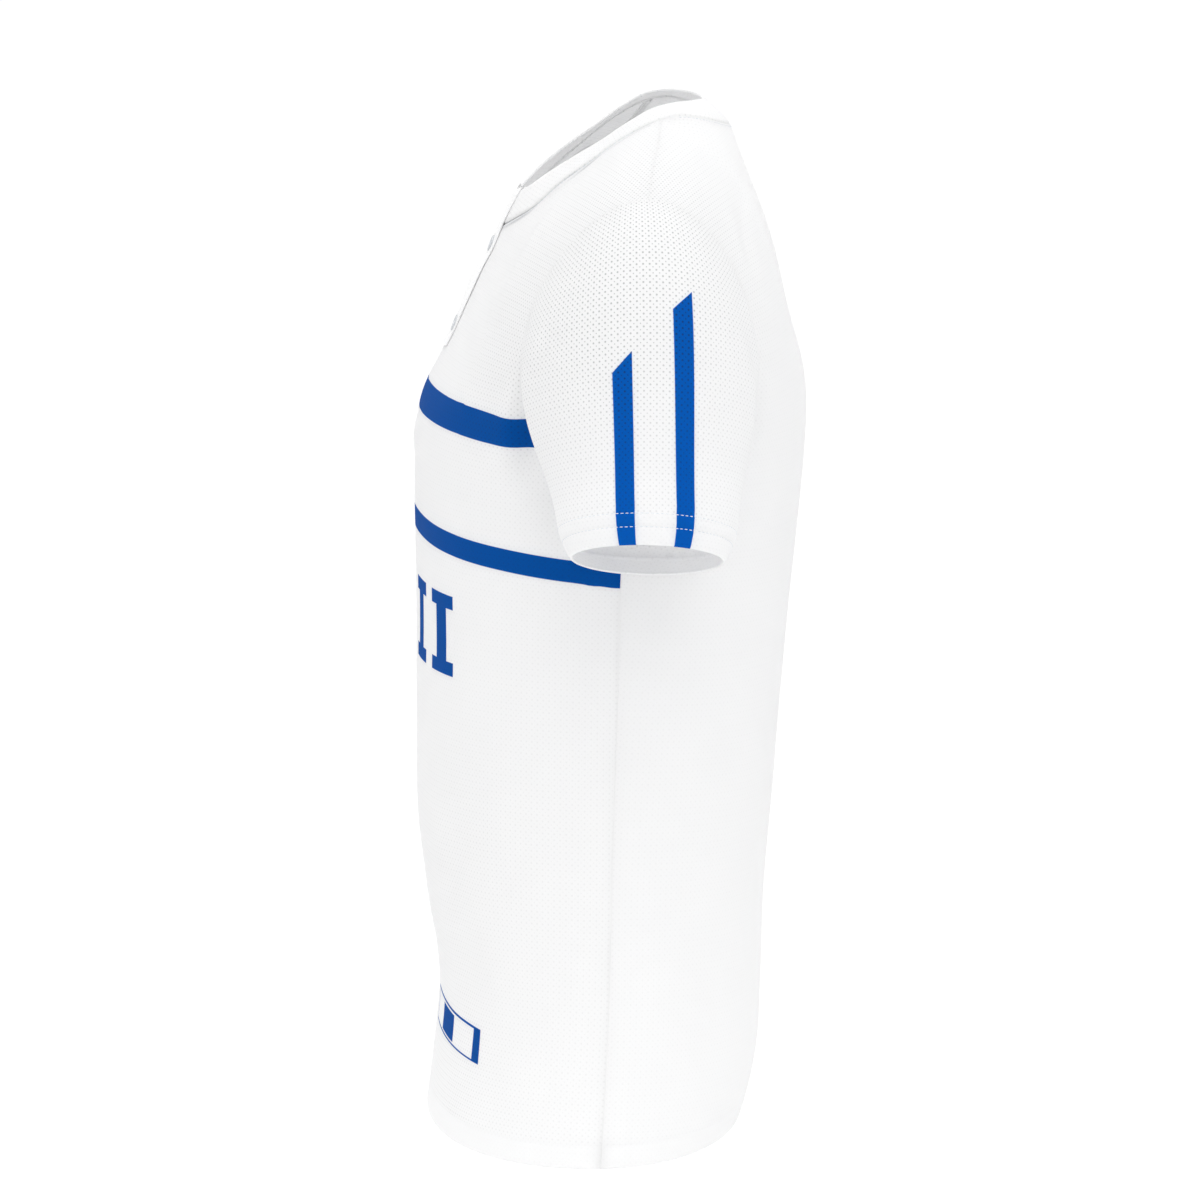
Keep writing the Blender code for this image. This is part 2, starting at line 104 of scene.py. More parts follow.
SLEEVE_TILT = math.radians(21)       # the cuff's plane against the level
SLEEVE_LEAN = -0.02                  # how far forward the sleeve's axis leans
CUFF_MIDDLE = (0.2515, -0.0120, -0.2697)
CUFF_ACROSS, CUFF_DEEP = 0.0510, 0.0565      # half its width above the hem, each way
CUFF_ROLL = 0.04                     # how much higher its front edge is than its back
CUFF_DRAW_IN, HEM_DEPTH = 0.14, 0.024        # how much its edge narrows, over what length
# Where the sleeve heads as it leaves the armhole: over the shoulder, at the front and
# back, at the underarm, and forward. Then how long it comes in line with the cuff.
LEAVE_TOP, LEAVE_SIDE = np.array([0.070, 0.0, -0.026]), np.array([0.022, 0.0, -0.020])
LEAVE_UNDER, LEAVE_BULGE = np.array([0.014, 0.0, -0.022]), np.array([0.0, -0.012, 0.0])
ARRIVE_TOP, ARRIVE_UNDER = 0.090, 0.030
SLEEVE_SPREAD = 0.6                  # 1 spaces its rows evenly, 0 closest at the cuff

# The neck seam and the band's top edge are ovals seen from above. Their heights are
# given by how far round they are, in degrees from the front's middle to the back's.
Oval = namedtuple("Oval", "half_width front_y widest_y back_y")
SEAM_OVAL = Oval(NECK_HALF_WIDTH, FRONT_NECK_Y, 0.0070, BACK_NECK_Y)
BAND_OVAL = Oval(0.0530, -0.0845, -0.0030, 0.0384)
BAND_SWING = math.radians(8)         # how far its edge is turned back over the shoulder
BAND_CROWN = 0.0006                  # how far it bows out between its edges
SEAM_STOPS = [
    (0, -0.0820), (17, -0.0760), (37, -0.0631), (54, -0.0417), (67, -0.0270), (82, -0.0088),
    (90, -0.0034), (103, -0.0014), (120, -0.0035), (150, -0.0098), (180, -0.0147),
]
BAND_STOPS = [
    (0, -0.0582), (20, -0.0540), (51, -0.0340), (71, -0.0182), (84, -0.0060),
    (92, -0.0003), (103, 0.0026), (122, 0.0047), (145, 0.0048), (180, 0.0027),
]

PLACKET_HALF = 0.013
PLACKET_BOTTOM_Z = -0.165
PLACKET_ACROSS = PLACKET_HALF * np.arange(-2, 3) / 2
# Soft troughs and dents that the cloth falls into, between two points of a panel, each
# given by how far across it is and how far up, as the body function counts them.
Fold = namedtuple("Fold", "name face side across rise to_across to_rise width depth")
FOLDS = [
    Fold("left front armpit", "front", 1, 0.93, 1.08, 0.62, 0.86, 0.024, 0.0045),
    Fold("right front armpit", "front", -1, 0.92, 1.10, 0.58, 0.90, 0.026, 0.0040),
    Fold("left back armpit", "back", 1, 0.90, 1.02, 0.88, 1.34, 0.022, 0.0055),
    Fold("right back armpit", "back", -1, 0.91, 1.00, 0.86, 1.30, 0.024, 0.0050),
    Fold("left collar bone", "front", 1, 0.45, 1.82, 0.62, 1.70, 0.034, 0.0060),
    Fold("right collar bone", "front", -1, 0.45, 1.82, 0.62, 1.70, 0.034, 0.0060),
    Fold("top button", "front", 1, 0.00, 1.49, 0.00, 1.50, 0.011, 0.0022),
    Fold("lower button", "front", 1, 0.00, 1.255, 0.00, 1.265, 0.011, 0.0020),
]

NECK_COLUMNS, SHOULDER_COLUMNS = 6, 8
BODY_ROWS, ARM_ROWS = 17, 14
SLEEVE_ROWS, BAND_ROWS = 13, 4
SETTLE_BELOW, SETTLE_PASSES = 5, 25
SETTLE_IN, SETTLE_OUT = 0.60, -0.62
MIRROR = np.array([-1, 1, 1])
for what, table in {"levels": CENTRE, "side seam": SIDE_SEAM, "large folds": FOLDS}.items():
    print(f"{what}:", ", ".join(row.name for row in table))

# %% [markdown]
# ## The form of the body, sleeves and neck
# Each piece is first a coarse grid of points, worked out from the levels: the body from
# the middle of the front or back round to the side, the sleeve from the armhole down to
# the cuff, and the band from the neck seam up to its edge.

# %% Curves and the body's form
def flow(knots, values, at):
    """A smooth curve through the values at rising knots, which never overshoots."""
    knots, values, at = (np.asarray(a, float) for a in (knots, values, at))
    step = np.diff(knots)
    rise = np.diff(values) / step
    before = np.concatenate([rise[:1], rise])
    after = np.concatenate([rise, rise[-1:]])
    limit = 3 * np.minimum(abs(before), abs(after))
    slope = np.where(before * after > 0, np.clip((before + after) / 2, -limit, limit), 0)
    i = np.clip(np.searchsorted(knots, at) - 1, 0, len(step) - 1)
    s = (at - knots[i]) / step[i]
    return (
        values[i] * (1 + 2 * s) * (1 - s) ** 2
        + values[i + 1] * s**2 * (3 - 2 * s)
        + step[i] * (slope[i] * s * (1 - s) ** 2 - slope[i + 1] * s**2 * (1 - s))
    )


def column(table, field):
    return [getattr(row, field) for row in table]


def point(x, y, z):
    return np.stack(np.broadcast_arrays(*(np.asarray(v, float) for v in (x, y, z))), -1)


def bezier(a, b, c, d, s):
    s = np.asarray(s, float)[..., None]
    return a * (1 - s) ** 3 + 3 * b * s * (1 - s) ** 2 + 3 * c * s**2 * (1 - s) + d * s**3


def ease(s):
    s = np.clip(s, 0, 1)
    return s * s * (3 - 2 * s)


def unit(v):
    return v / np.maximum(np.linalg.norm(v, axis=-1, keepdims=True), 1e-12)


def normals(grid, ring=False):
    """Outward normals of a grid whose rows go up and whose columns go to the left."""
    around = np.roll(grid, -1, 1) - np.roll(grid, 1, 1) if ring else np.gradient(grid, axis=1)
    return unit(np.cross(around, np.gradient(grid, axis=0)))


# %% The body
def armhole(face, angle):
    """The seam where the sleeve is set in; angle 0 is the shoulder, pi the underarm."""
    up = (1 + np.cos(angle)) / 2
    down = 1 - up
    sx, sy, sz = SHOULDER_POINT
    under = SIDE_SEAM[-1]
    x = ARMHOLE_MID_X + (sx - ARMHOLE_MID_X) * up**2 + (under.x - ARMHOLE_MID_X) * down**2
    reach = ARMHOLE_REACH * np.sin(angle) * (1 - ARMHOLE_EGG * np.cos(angle))
    y = sy * up + under.y * down + (-reach if face == "front" else reach)
    return point(x, y, sz * up + under.height * down)


def body(face, across, rise):
    """A point of the body: across 0 to 1 from the middle to the side, rise 0 to 1 from
    the hem to the underarm and 1 to 2 from there to the shoulder line."""
    across, rise = np.broadcast_arrays(np.asarray(across, float), np.asarray(rise, float))
    arm = np.clip(rise - 1, 0, 1)
    low = HEM_Z + (UNDERARM_Z - HEM_Z) * np.clip(rise, 0, 1)
    height = low + (NECK_CENTRE_Z - UNDERARM_Z) * arm
    middle = point(0, flow(column(CENTRE, "height"), column(CENTRE, face + "_y"), height), height)
    seam = column(SIDE_SEAM, "height")
    side = point(*(flow(seam, column(SIDE_SEAM, field), low) for field in "xy"), low)
    above = (rise > 1)[..., None]
    side = np.where(above, armhole(face, math.pi * (1 - arm)), side)
    inner = ease(2 * arm - 1) / 3
    outer = ease(arm) / 3
    square = 1 - HEM_ROUNDER[face] * np.clip(1 - 2 * rise, 0, 1)
    flat = square * FLAT[face] + (1 / 3 - FLAT[face]) * 3 * inner
    turn = square * TURN[face] + (1 / 3 - TURN[face]) * 3 * outer
    run = side - middle
    one = middle + run * np.stack([flat, inner, inner], -1)
    two = side - run * np.stack([outer, turn, outer], -1)
    return bezier(middle, one, two, side, across)


def oval(shape, stops, turn):
    """A point of an oval round the neck, turned by an angle from the front's middle."""
    up = np.cos(turn)
    depth = np.where(up > 0, shape.widest_y - shape.front_y, shape.back_y - shape.widest_y)
    height = flow(*np.transpose(stops), np.degrees(turn))
    return point(shape.half_width * np.sin(turn), shape.widest_y - depth * up, height)


def neck_turns():
    """How far round the neck half a front's columns are: two within the placket's
    edge, and the rest evenly on to the shoulder seam."""
    edge = math.asin(PLACKET_HALF / NECK_HALF_WIDTH)
    return np.concatenate([[0, edge / 2], np.linspace(edge, math.pi / 2, NECK_COLUMNS + 1)])


def reach(face, across, height):
    """How far up its column the body reaches a height, found by halving."""
    low, high = np.ones_like(across), np.full_like(across, 2.0)
    for _ in range(30):
        mid = (low + high) / 2
        under = body(face, across, mid)[..., 2] < height
        low, high = np.where(under, mid, low), np.where(under, high, mid)
    return low


def panel_columns():
    """The columns of half a panel, from 0 in the middle to 1 at the side."""
    shoulder = NECK_HALF_WIDTH / SHOULDER_POINT[0]
    edge = PLACKET_HALF * 3 / SHOULDER_POINT[0] / 5
    neck = np.concatenate([[0, edge / 2], np.linspace(edge, shoulder, NECK_COLUMNS + 1)])
    return neck, np.linspace(shoulder, 1, SHOULDER_COLUMNS + 1)[1:]


def panel_grid(face):
    """The outer face of a panel: rows from the hem up, columns from right to left."""
    neck, shoulder = panel_columns()
    turns = neck_turns()
    seam = oval(SEAM_OVAL, SEAM_STOPS, turns if face == "front" else math.pi - turns)
    half = np.concatenate([neck, shoulder])
    top = np.concatenate([reach(face, neck, seam[:, 2]), np.full(len(shoulder), 2.0)])
    top[len(neck) - 1] = 2
    low = np.repeat(np.arange(BODY_ROWS)[:, None] / BODY_ROWS, len(half), 1)
    up = np.arange(ARM_ROWS + 1)[:, None] / ARM_ROWS
    grid = body(face, half, np.concatenate([low, 1 + up * (top - 1)]))
    grid[BODY_ROWS:, : len(neck)] += ease(up)[..., None] * (seam - grid[-1, : len(neck)])
    grid = folded(face, settle(np.concatenate([grid[:, :0:-1] * MIRROR, grid], 1)))
    if face == "front":
        for row in grid[placket_foot(grid) - 1 : -1]:
            row[placket_columns(grid)] = on_row(row, PLACKET_ACROSS)
    return grid


def settle(grid):
    """Evens out the creases above the chest, with the seams held. Each pass that
    smooths is followed by one that swells, so the form doesn't shrink."""
    first = BODY_ROWS - SETTLE_BELOW
    for share in (SETTLE_IN, SETTLE_OUT) * SETTLE_PASSES:
        middle = grid[first:-1, 1:-1]
        near = grid[first - 1 : -2, 1:-1] + grid[first + 1 :, 1:-1]
        near = near + grid[first:-1, :-2] + grid[first:-1, 2:]
        grid[first:-1, 1:-1] = middle + share * (near / 4 - middle)
    return grid


def folded(face, grid):
    """Lets the cloth fall into its troughs, which fade out at the seams."""
    rows, cols = grid.shape[:2]
    r, c = np.arange(rows)[:, None], np.arange(cols)[None, :]
    inside = np.minimum(np.minimum(r, rows - 1 - r), np.minimum(c, cols - 1 - c))
    out = normals(grid) * (1 if face == "front" else -1)
    depth = np.zeros((rows, cols))
    for fold in FOLDS:
        if fold.face == face:
            mirror = np.array([fold.side, 1, 1])
            start = body(face, fold.across, fold.rise) * mirror
            line = body(face, fold.to_across, fold.to_rise) * mirror - start
            along = np.clip((grid - start) @ line / (line @ line), 0, 1)
            off = np.linalg.norm(grid - start - along[..., None] * line, axis=-1)
            depth += fold.depth * np.exp(-((off / fold.width) ** 2)) * (1 - ease(along) / 2)
    return grid - out * (depth * ease(inside / 2))[..., None]


def placket_columns(grid):
    return grid.shape[1] // 2 + np.arange(-2, 3)


def placket_foot(grid):
    return int(np.argmin(abs(grid[:, grid.shape[1] // 2, 2] - PLACKET_BOTTOM_Z)))


def on_row(row, x):
    """The points of a row, which runs from right to left, at some distances across."""
    near = row[abs(row[:, 0]) < 4 * PLACKET_HALF]
    near = near[np.argsort(near[:, 0])]
    return point(x, *(np.interp(x, near[:, 0], near[:, k]) for k in (1, 2)))


# %% The sleeve, the neck band and the placket
def sleeve_grid():
    """The left sleeve's outer face: rows from the cuff up to the armhole, columns round
    the arm."""
    half = math.pi * np.arange(ARM_ROWS + 1) / ARM_ROWS
    ring = np.concatenate([armhole("front", half), armhole("back", half[-2::-1])])
    angle = np.concatenate([half, 2 * math.pi - half[-2::-1]])
    up, front = np.cos(angle), np.sin(angle)
    high, low = ((1 + up) / 2)[:, None], ((1 - up) / 2)[:, None]
    outward = point(math.cos(SLEEVE_TILT), 0, math.sin(SLEEVE_TILT))
    axis = point(math.sin(SLEEVE_TILT), SLEEVE_LEAN, -math.cos(SLEEVE_TILT))
    cuff = (
        point(*CUFF_MIDDLE)
        + outward * (CUFF_ACROSS * up)[:, None]
        + point(0, -1, CUFF_ROLL) * (CUFF_DEEP * front)[:, None]
    )
    leave = LEAVE_TOP * high**1.5 + LEAVE_UNDER * low**2
    leave = leave + LEAVE_SIDE * (front**2)[:, None] + LEAVE_BULGE * front[:, None]
    arrive = axis * (ARRIVE_UNDER + (ARRIVE_TOP - ARRIVE_UNDER) * high)
    rows = []
    for s in np.arange(SLEEVE_ROWS + 1) / SLEEVE_ROWS:
        s = SLEEVE_SPREAD * s + (1 - SLEEVE_SPREAD) * (1 - (1 - s) ** 2)
        rows.append(bezier(ring, ring + leave, cuff - arrive, cuff, np.full(len(ring), s)))
    grid = np.array(rows)
    length = np.linalg.norm(np.diff(grid, axis=0), axis=2)
    to_edge = np.concatenate([np.cumsum(length[::-1], 0)[::-1], np.zeros((1, len(ring)))])
    draw = CUFF_DRAW_IN * np.clip(1 - to_edge / HEM_DEPTH, 0, 1) ** 2
    grid = grid + (grid.mean(1, keepdims=True) - grid) * draw[..., None]
    return grid[::-1, -2::-1]


def band_grid():
    """The neck band's outer face: rows from the seam up, closed round the neck."""
    half = neck_turns()
    left = np.concatenate([half, math.pi - half[-2::-1]])
    seam = oval(SEAM_OVAL, SEAM_STOPS, left)
    edge = oval(BAND_OVAL, BAND_STOPS, left + BAND_SWING * np.sin(left) ** 2)
    rows = []
    for s in np.arange(BAND_ROWS + 1) / BAND_ROWS:
        row = seam + (edge - seam) * s
        row[:, 2] += BAND_CROWN * 4 * s * (1 - s)
        rows.append(np.concatenate([row, row[-2:0:-1] * MIRROR]))
    return np.array(rows)


def placket_grid(front, band):
    """The placket lies on the front's middle columns and on the band's front."""
    panel = front[placket_foot(front) :, placket_columns(front)]
    collar = [on_row(row[row[:, 1] < 0], PLACKET_ACROSS) for row in band[1:]]
    return np.concatenate([panel, collar])


# %% Work out the coarse grids
UNDER_COLUMN = 13                     # the sleeve's column at the underarm
front_form, back_form = panel_grid("front"), panel_grid("back")[:, ::-1]
sleeve_form, band_form = np.roll(sleeve_grid(), -UNDER_COLUMN, 1), band_grid()
placket_form = placket_grid(front_form, band_form)
for name, grid in {"front": front_form, "sleeve": sleeve_form, "band": band_form}.items():
    print(name, "form:", grid.shape[:2], "points")

# %% [markdown]
# ## From a coarse form to fine cloth
# Real cloth bends most where it is sewn: at a hem, beside a stitch line and along a seam.
# A subdivision surface would spend its faces evenly, so instead each line of the form is
# read again as a smooth curve, at even distances in the open cloth and closer together
# near its edges. Corners, such as where the neck meets the shoulder, are kept.

# %% Read lines of points again
def respace(lines, counts, corners=(), start=(0.0,), end=(0.0,), ring=False):
    """Smooth curves down axis 0, read again. start and end are distances from the two
    ends, and counts the number of even steps from each corner to the next."""
    step = np.diff(lines, axis=0)
    length = np.linalg.norm(step, axis=2)
    rise = step / length[..., None]
    stops = [0, *corners, len(lines) - 1]
    made = []
    for k, (a, b) in enumerate(zip(stops, stops[1:])):
        h, r = length[a:b], rise[a:b]
        w = (h[:-1] + h[1:])[..., None]
        inner = (r[:-1] * h[1:, :, None] + r[1:] * h[:-1, :, None]) / w
        first, last = 2 * r[0] - inner[0], 2 * r[-1] - inner[-1]
        if ring:
            wrap = (h[0] + h[-1])[:, None]
            first = last = (r[-1] * h[0][:, None] + r[0] * h[-1][:, None]) / wrap
        slope = np.concatenate([first[None], inner, last[None]])
        s = np.concatenate([np.zeros((1, h.shape[1])), np.cumsum(h, 0)])
        low = np.array(start if k == 0 else (0.0,))
        high = np.array(end if b == len(lines) - 1 else (0.0,))
        even = np.linspace(0, 1, counts[k] + 1)[:, None] * (s[-1] - high[-1] - low[-1])
        near = np.repeat(low[:-1, None], h.shape[1], 1)
        far = np.repeat(high[-2::-1, None], h.shape[1], 1)
        at = np.concatenate([near, low[-1] + even, s[-1] - far])
        if k:
            at = at[1:]
        i = (at[:, None] >= s[None, 1:-1]).sum(1)
        j = np.arange(h.shape[1])[None, :]
        t = ((at - s[i, j]) / h[i, j])[..., None]
        g = h[i, j][..., None]
        p, q = lines[a:b + 1][i, j], lines[a:b + 1][i + 1, j]
        m, n = slope[i, j] * g, slope[i + 1, j] * g
        made.append(
            p * (1 + 2 * t) * (1 - t) ** 2 + q * t**2 * (3 - 2 * t)
            + m * t * (1 - t) ** 2 - n * t**2 * (1 - t)
        )
    return np.concatenate(made)


def fine(form, rows, columns, ring=False):
    """rows and columns hold what respace is told for each direction."""
    tall = respace(form, **rows)
    if ring:
        tall = np.concatenate([tall, tall[:, :1]], 1)
    wide = respace(tall.transpose(1, 0, 2), ring=ring, **columns)
    return wide.transpose(1, 0, 2)


def run(grid, axis):
    """How far each point is from the grid's first line, measured over the cloth."""
    steps = np.linalg.norm(np.diff(grid, axis=axis), axis=2)
    start = np.zeros_like(steps[:1] if axis == 0 else steps[:, :1])
    return np.cumsum(np.concatenate([start, steps], axis), axis)


# %% Distances that need points of their own
SEAM_STEPS = (0.0, 0.0003, 0.0007, 0.0012, 0.0019, 0.0030)
FOLD_STEPS = (0.0, 0.0005, 0.0011, 0.0020, 0.0040, 0.0070, 0.0100, 0.0130)
BAND_STEPS = (0.0, 0.0004, 0.0009, 0.0016, 0.0028)
BESIDE_STITCHES = (-0.0010, -0.0005, -0.00025, 0, 0.00025, 0.0005, 0.0010)
BODY_HEM, SLEEVE_HEM = (0.0160,), (0.0124, 0.0212)   # from the edge to each stitch line
BODY_HEM_END, SLEEVE_HEM_END = 0.0205, 0.0260        # where the even steps start
PANEL_STEP, SLEEVE_STEP = 0.0040, 0.0030
SLEEVE_EDGES = 0.03                   # about what the steps beside its edges take up


def stitch_steps(lines, last):
    """Distances from a hem: its fold, then points close to each line of stitches."""
    steps = {s for s in FOLD_STEPS if s < min(lines) - 0.0012}
    steps |= {round(line + d, 6) for line in lines for d in BESIDE_STITCHES}
    return (*sorted(steps), last)


def counts(grid, axis, stops, step, less=0.0):
    """How many even steps each span takes, from its longest line."""
    length = np.linalg.norm(np.diff(grid, axis=axis), axis=2)
    length = length if axis == 0 else length.T
    spans = (length[a:b].sum(0).max() for a, b in zip(stops, stops[1:]))
    return [max(2, round((span - less) / step)) for span in spans]


def fine_panel(form):
    rows, cols = form.shape[:2]
    up = [0, BODY_ROWS, rows - 1]
    across = [0, SHOULDER_COLUMNS, cols - 1 - SHOULDER_COLUMNS, cols - 1]
    return fine(
        form,
        dict(counts=counts(form, 0, up, PANEL_STEP), corners=up[1:-1],
             start=stitch_steps(BODY_HEM, BODY_HEM_END), end=SEAM_STEPS),
        dict(counts=counts(form, 1, across, PANEL_STEP), corners=across[1:-1],
             start=SEAM_STEPS, end=SEAM_STEPS),
    )


def fine_sleeve(form):
    rows, cols = form.shape[:2]
    closed = np.concatenate([form, form[:, :1]], 1)
    return fine(
        form,
        dict(counts=counts(form, 0, [0, rows - 1], SLEEVE_STEP, SLEEVE_EDGES),
             start=stitch_steps(SLEEVE_HEM, SLEEVE_HEM_END), end=SEAM_STEPS),
        dict(counts=counts(closed, 1, [0, cols], SLEEVE_STEP)),
        ring=True,
    )


front_base, back_base = fine_panel(front_form), fine_panel(back_form)
left_base = fine_sleeve(sleeve_form)
band_tall = dict(counts=[8], start=SEAM_STEPS, end=BAND_STEPS)
band_base = fine(band_form, band_tall, dict(counts=[200]), ring=True)
right_base = (left_base * MIRROR)[:, ::-1]
BASES = {"front": front_base, "back": back_base, "sleeve": left_base, "band": band_base}
for name, grid in BASES.items():
    tall = round(float(run(grid, 0)[-1].max()), 3)
    print(name, "cloth:", grid.shape[:2], "points,", tall, "m tall")

# %% [markdown]
# ## The flat pattern of each piece
# The holes of pin-dot mesh are knitted in straight rows, and the print was made on flat
# cloth. So colour and holes need to know where each point of the filled-out piece lay
# before it was sewn. Blender's own unwrap answers that: it lays a sheet flat with as
# little stretch as it can. The result is turned so that the grain runs up the page, and
# is scaled to metres, so that every pattern below can be drawn in real sizes.

# %% Lay a piece flat
FLAT_EVERY = 4                        # unwrap every fourth point, and read between them


def new_mesh(name, points, faces):
    mesh = bpy.data.meshes.new(name)
    mesh.from_pydata(np.asarray(points).tolist(), [], faces)
    made = bpy.data.objects.new(name, mesh)
    bpy.context.scene.collection.objects.link(made)
    return made


def only(thing):
    bpy.ops.object.select_all(action="DESELECT")
    thing.select_set(True)
    bpy.context.view_layer.objects.active = thing


def quads(rows, cols, ring=False):
    """Faces between the points of a grid, seen from outside. A ring's last column of
    faces comes back to its first points."""
    points = cols - 1 if ring else cols
    r, c = np.meshgrid(points * np.arange(rows - 1), np.arange(cols - 1), indexing="ij")
    right = (c + 1) % points
    corners = [r + c, r + right, r + points + right, r + points + c]
    return np.stack(corners, -1).reshape(-1, 4).tolist()


def between(values, at, axis):
    """Values read between the lines of a grid, at fractions of a line."""
    low = np.clip(np.floor(at).astype(int), 0, values.shape[axis] - 2)
    part = (at - low).reshape([-1 if k == axis else 1 for k in range(values.ndim)])
    return np.take(values, low, axis) * (1 - part) + np.take(values, low + 1, axis) * part


def along(values, at, length):
    """Values known at fractions of a line, read at each line by its length over the cloth."""
    known = between(length, at, 0)
    made = [
        [np.interp(length[:, c], known[:, c], values[:, c, k]) for k in range(values.shape[2])]
        for c in range(length.shape[1])
    ]
    return np.transpose(made, (2, 0, 1))


def flat_pattern(grid):
    """Where each point lies on the flat cloth, in metres, with its middle line upright."""
    rows, cols = grid.shape[:2]
    up, across = run(grid, 0)[:, cols // 2], run(grid, 1)[rows // 2]
    r_at = np.interp(np.linspace(0, up[-1], rows // FLAT_EVERY), up, np.arange(rows))
    c_at = np.interp(np.linspace(0, across[-1], cols // FLAT_EVERY), across, np.arange(cols))
    tall = between(grid, r_at, 0)
    coarse = between(tall, c_at, 1)
    m, n = coarse.shape[:2]
    card = new_mesh("flat_card", coarse.reshape(-1, 3), quads(m, n))
    only(card)
    bpy.ops.object.mode_set(mode="EDIT")
    bpy.ops.mesh.select_all(action="SELECT")
    bpy.ops.uv.unwrap(method="MINIMUM_STRETCH", iterations=30, margin=0)
    bpy.ops.object.mode_set(mode="OBJECT")
    corner = np.zeros(len(card.data.loops), int)
    card.data.loops.foreach_get("vertex_index", corner)
    spot = np.zeros(2 * len(corner))
    card.data.uv_layers.active.data.foreach_get("uv", spot)
    flat = np.zeros((m * n, 2))
    flat[corner] = spot.reshape(-1, 2)
    bpy.data.objects.remove(card)
    flat = flat.reshape(m, n, 2)
    real = np.linalg.norm(np.diff(coarse, axis=0), axis=2).sum()
    flat *= real / np.linalg.norm(np.diff(flat, axis=0), axis=2).sum()
    middle = np.interp(cols // 2, c_at, np.arange(n))
    line = between(flat, np.array([middle]), 1)[:, 0]
    v = unit(line[-1] - line[0])
    u = np.array([v[1], -v[0]])
    if ((flat[:, -1] - flat[:, 0]).mean(0) @ u) < 0:
        u = -u
    flat = np.stack([(flat - line[0]) @ u, (flat - line[0]) @ v], -1)
    wide = along(flat.transpose(1, 0, 2), c_at, run(tall, 1).T).transpose(1, 0, 2)
    return along(wide, r_at, run(grid, 0))


front_flat, back_flat, left_flat, band_flat = map(flat_pattern, BASES.values())
right_flat = left_flat[:, ::-1] * np.array([-1, 1])
for name, flat in zip(BASES, (front_flat, back_flat, left_flat, band_flat)):
    print(name, "lies flat in", np.ptp(flat.reshape(-1, 2), axis=0).round(3), "m")

# %% [markdown]
# ## Seams, hems and folds
# A seam pulls both edges of the cloth down into a small ditch. A hem is two layers thick
# and stands a little proud, with a line pressed into it by each row of stitches, and the
# thread draws the cloth into small uneven puckers. All of that is a few tenths of a
# millimetre deep, so it is given as a depth at each point, and the point is then moved
# that far along its normal. A crease is a line on the flat pattern with a width and a
# depth. A bump map would be less work, but its edges stay flat when they are seen side on.

# %% Depths beside the edges
DITCH_WIDTH, DITCH_DEEP, PUCKER_REACH, SEAM_PUCKER = 0.0009, 0.00010, 0.0060, 0.00014
PUCKERS = [(0.0113, 0.13), (0.0171, 0.57), (0.0083, 0.31), (0.0290, 0.77)]
BODY_PULL, CUFF_PULL = 0.00018, 0.00040              # how deep the thread draws each hem
STITCH_WIDTH, HEM_FADE = 0.0007, 0.0012
FOLD_ROUND, FOLD_DEEP = 0.0015, 0.0006               # how a folded edge is rounded off
NECK_DITCH, BACK_NECK_DITCH = 0.0011, 0.0009
BAND_ROUND, BAND_DEEP, BAND_PROUD = 0.0016, 0.0009, 0.0002
HOLD = 0.02                                          # creases fade out this far from an edge
# A crease fades over this part of its length, and has a low lip along both sides, so
# many widths from its middle and this part as high as it is deep.
CREASE_FADE, LIP_OFF, LIP_HIGH = 0.35, 1.7, 0.28
Crease = namedtuple("Crease", "u v to_u to_v bow width depth")


def dip(distance, width):
    return np.exp(-((distance / width) ** 2))


def uneven(x, waves):
    """An uneven wave along a length, from a few (wavelength, start) pairs."""
    return sum(np.sin(2 * math.pi * (x / length + start)) for length, start in waves) / len(waves)


def folded_edge(away, width, deep):
    return deep * np.clip(1 - away / width, 0, 1) ** 2


def hem_depth(away, along, lines, pull):
    """Two layers stand proud up to the last stitches; each line is pulled in."""
    depth = -pull * (1 - ease((away - max(lines)) / HEM_FADE))
    depth = depth + folded_edge(away, FOLD_ROUND, FOLD_DEEP)
    for line in lines:
        depth = depth + pull * dip(away - line, STITCH_WIDTH)
        depth = depth + 0.7 * pull * dip(away - line, PUCKER_REACH) * uneven(along, PUCKERS)
    return depth


def seam_depth(away, along, deep=DITCH_DEEP):
    pucker = SEAM_PUCKER * dip(away - PUCKER_REACH / 2, PUCKER_REACH) * uneven(along, PUCKERS)
    return deep * dip(away, DITCH_WIDTH) + pucker


def crease_depth(flat, creases):
    depth = np.zeros(flat.shape[:2])
    for fold in creases:
        start = np.array([fold.u, fold.v])
        line = np.array([fold.to_u, fold.to_v]) - start
        side = unit(np.array([-line[1], line[0]]))
        s = np.clip((flat - start) @ line / (line @ line), 0, 1)
        spine = start + line * s[..., None] + side * (fold.bow * 4 * s * (1 - s))[..., None]
        off = (flat - spine) @ side
        off = np.where((s > 0) & (s < 1), off, np.linalg.norm(flat - spine, axis=-1))
        fade = ease(s / CREASE_FADE) * ease((1 - s) / CREASE_FADE)
        lip = sum(dip(off + way * LIP_OFF * fold.width, fold.width) for way in (-1, 1))
        depth += fold.depth * fade * (dip(off, fold.width) - LIP_HIGH * lip)
    return depth


def shaped(grid, depth, ring=False):
    """Moves each point in by its depth. A ring's last column repeats its first."""
    out = normals(grid[:, :-1] if ring else grid, ring)
    out = np.concatenate([out, out[:, :1]], 1) if ring else out
    return grid - out * depth[..., None], out


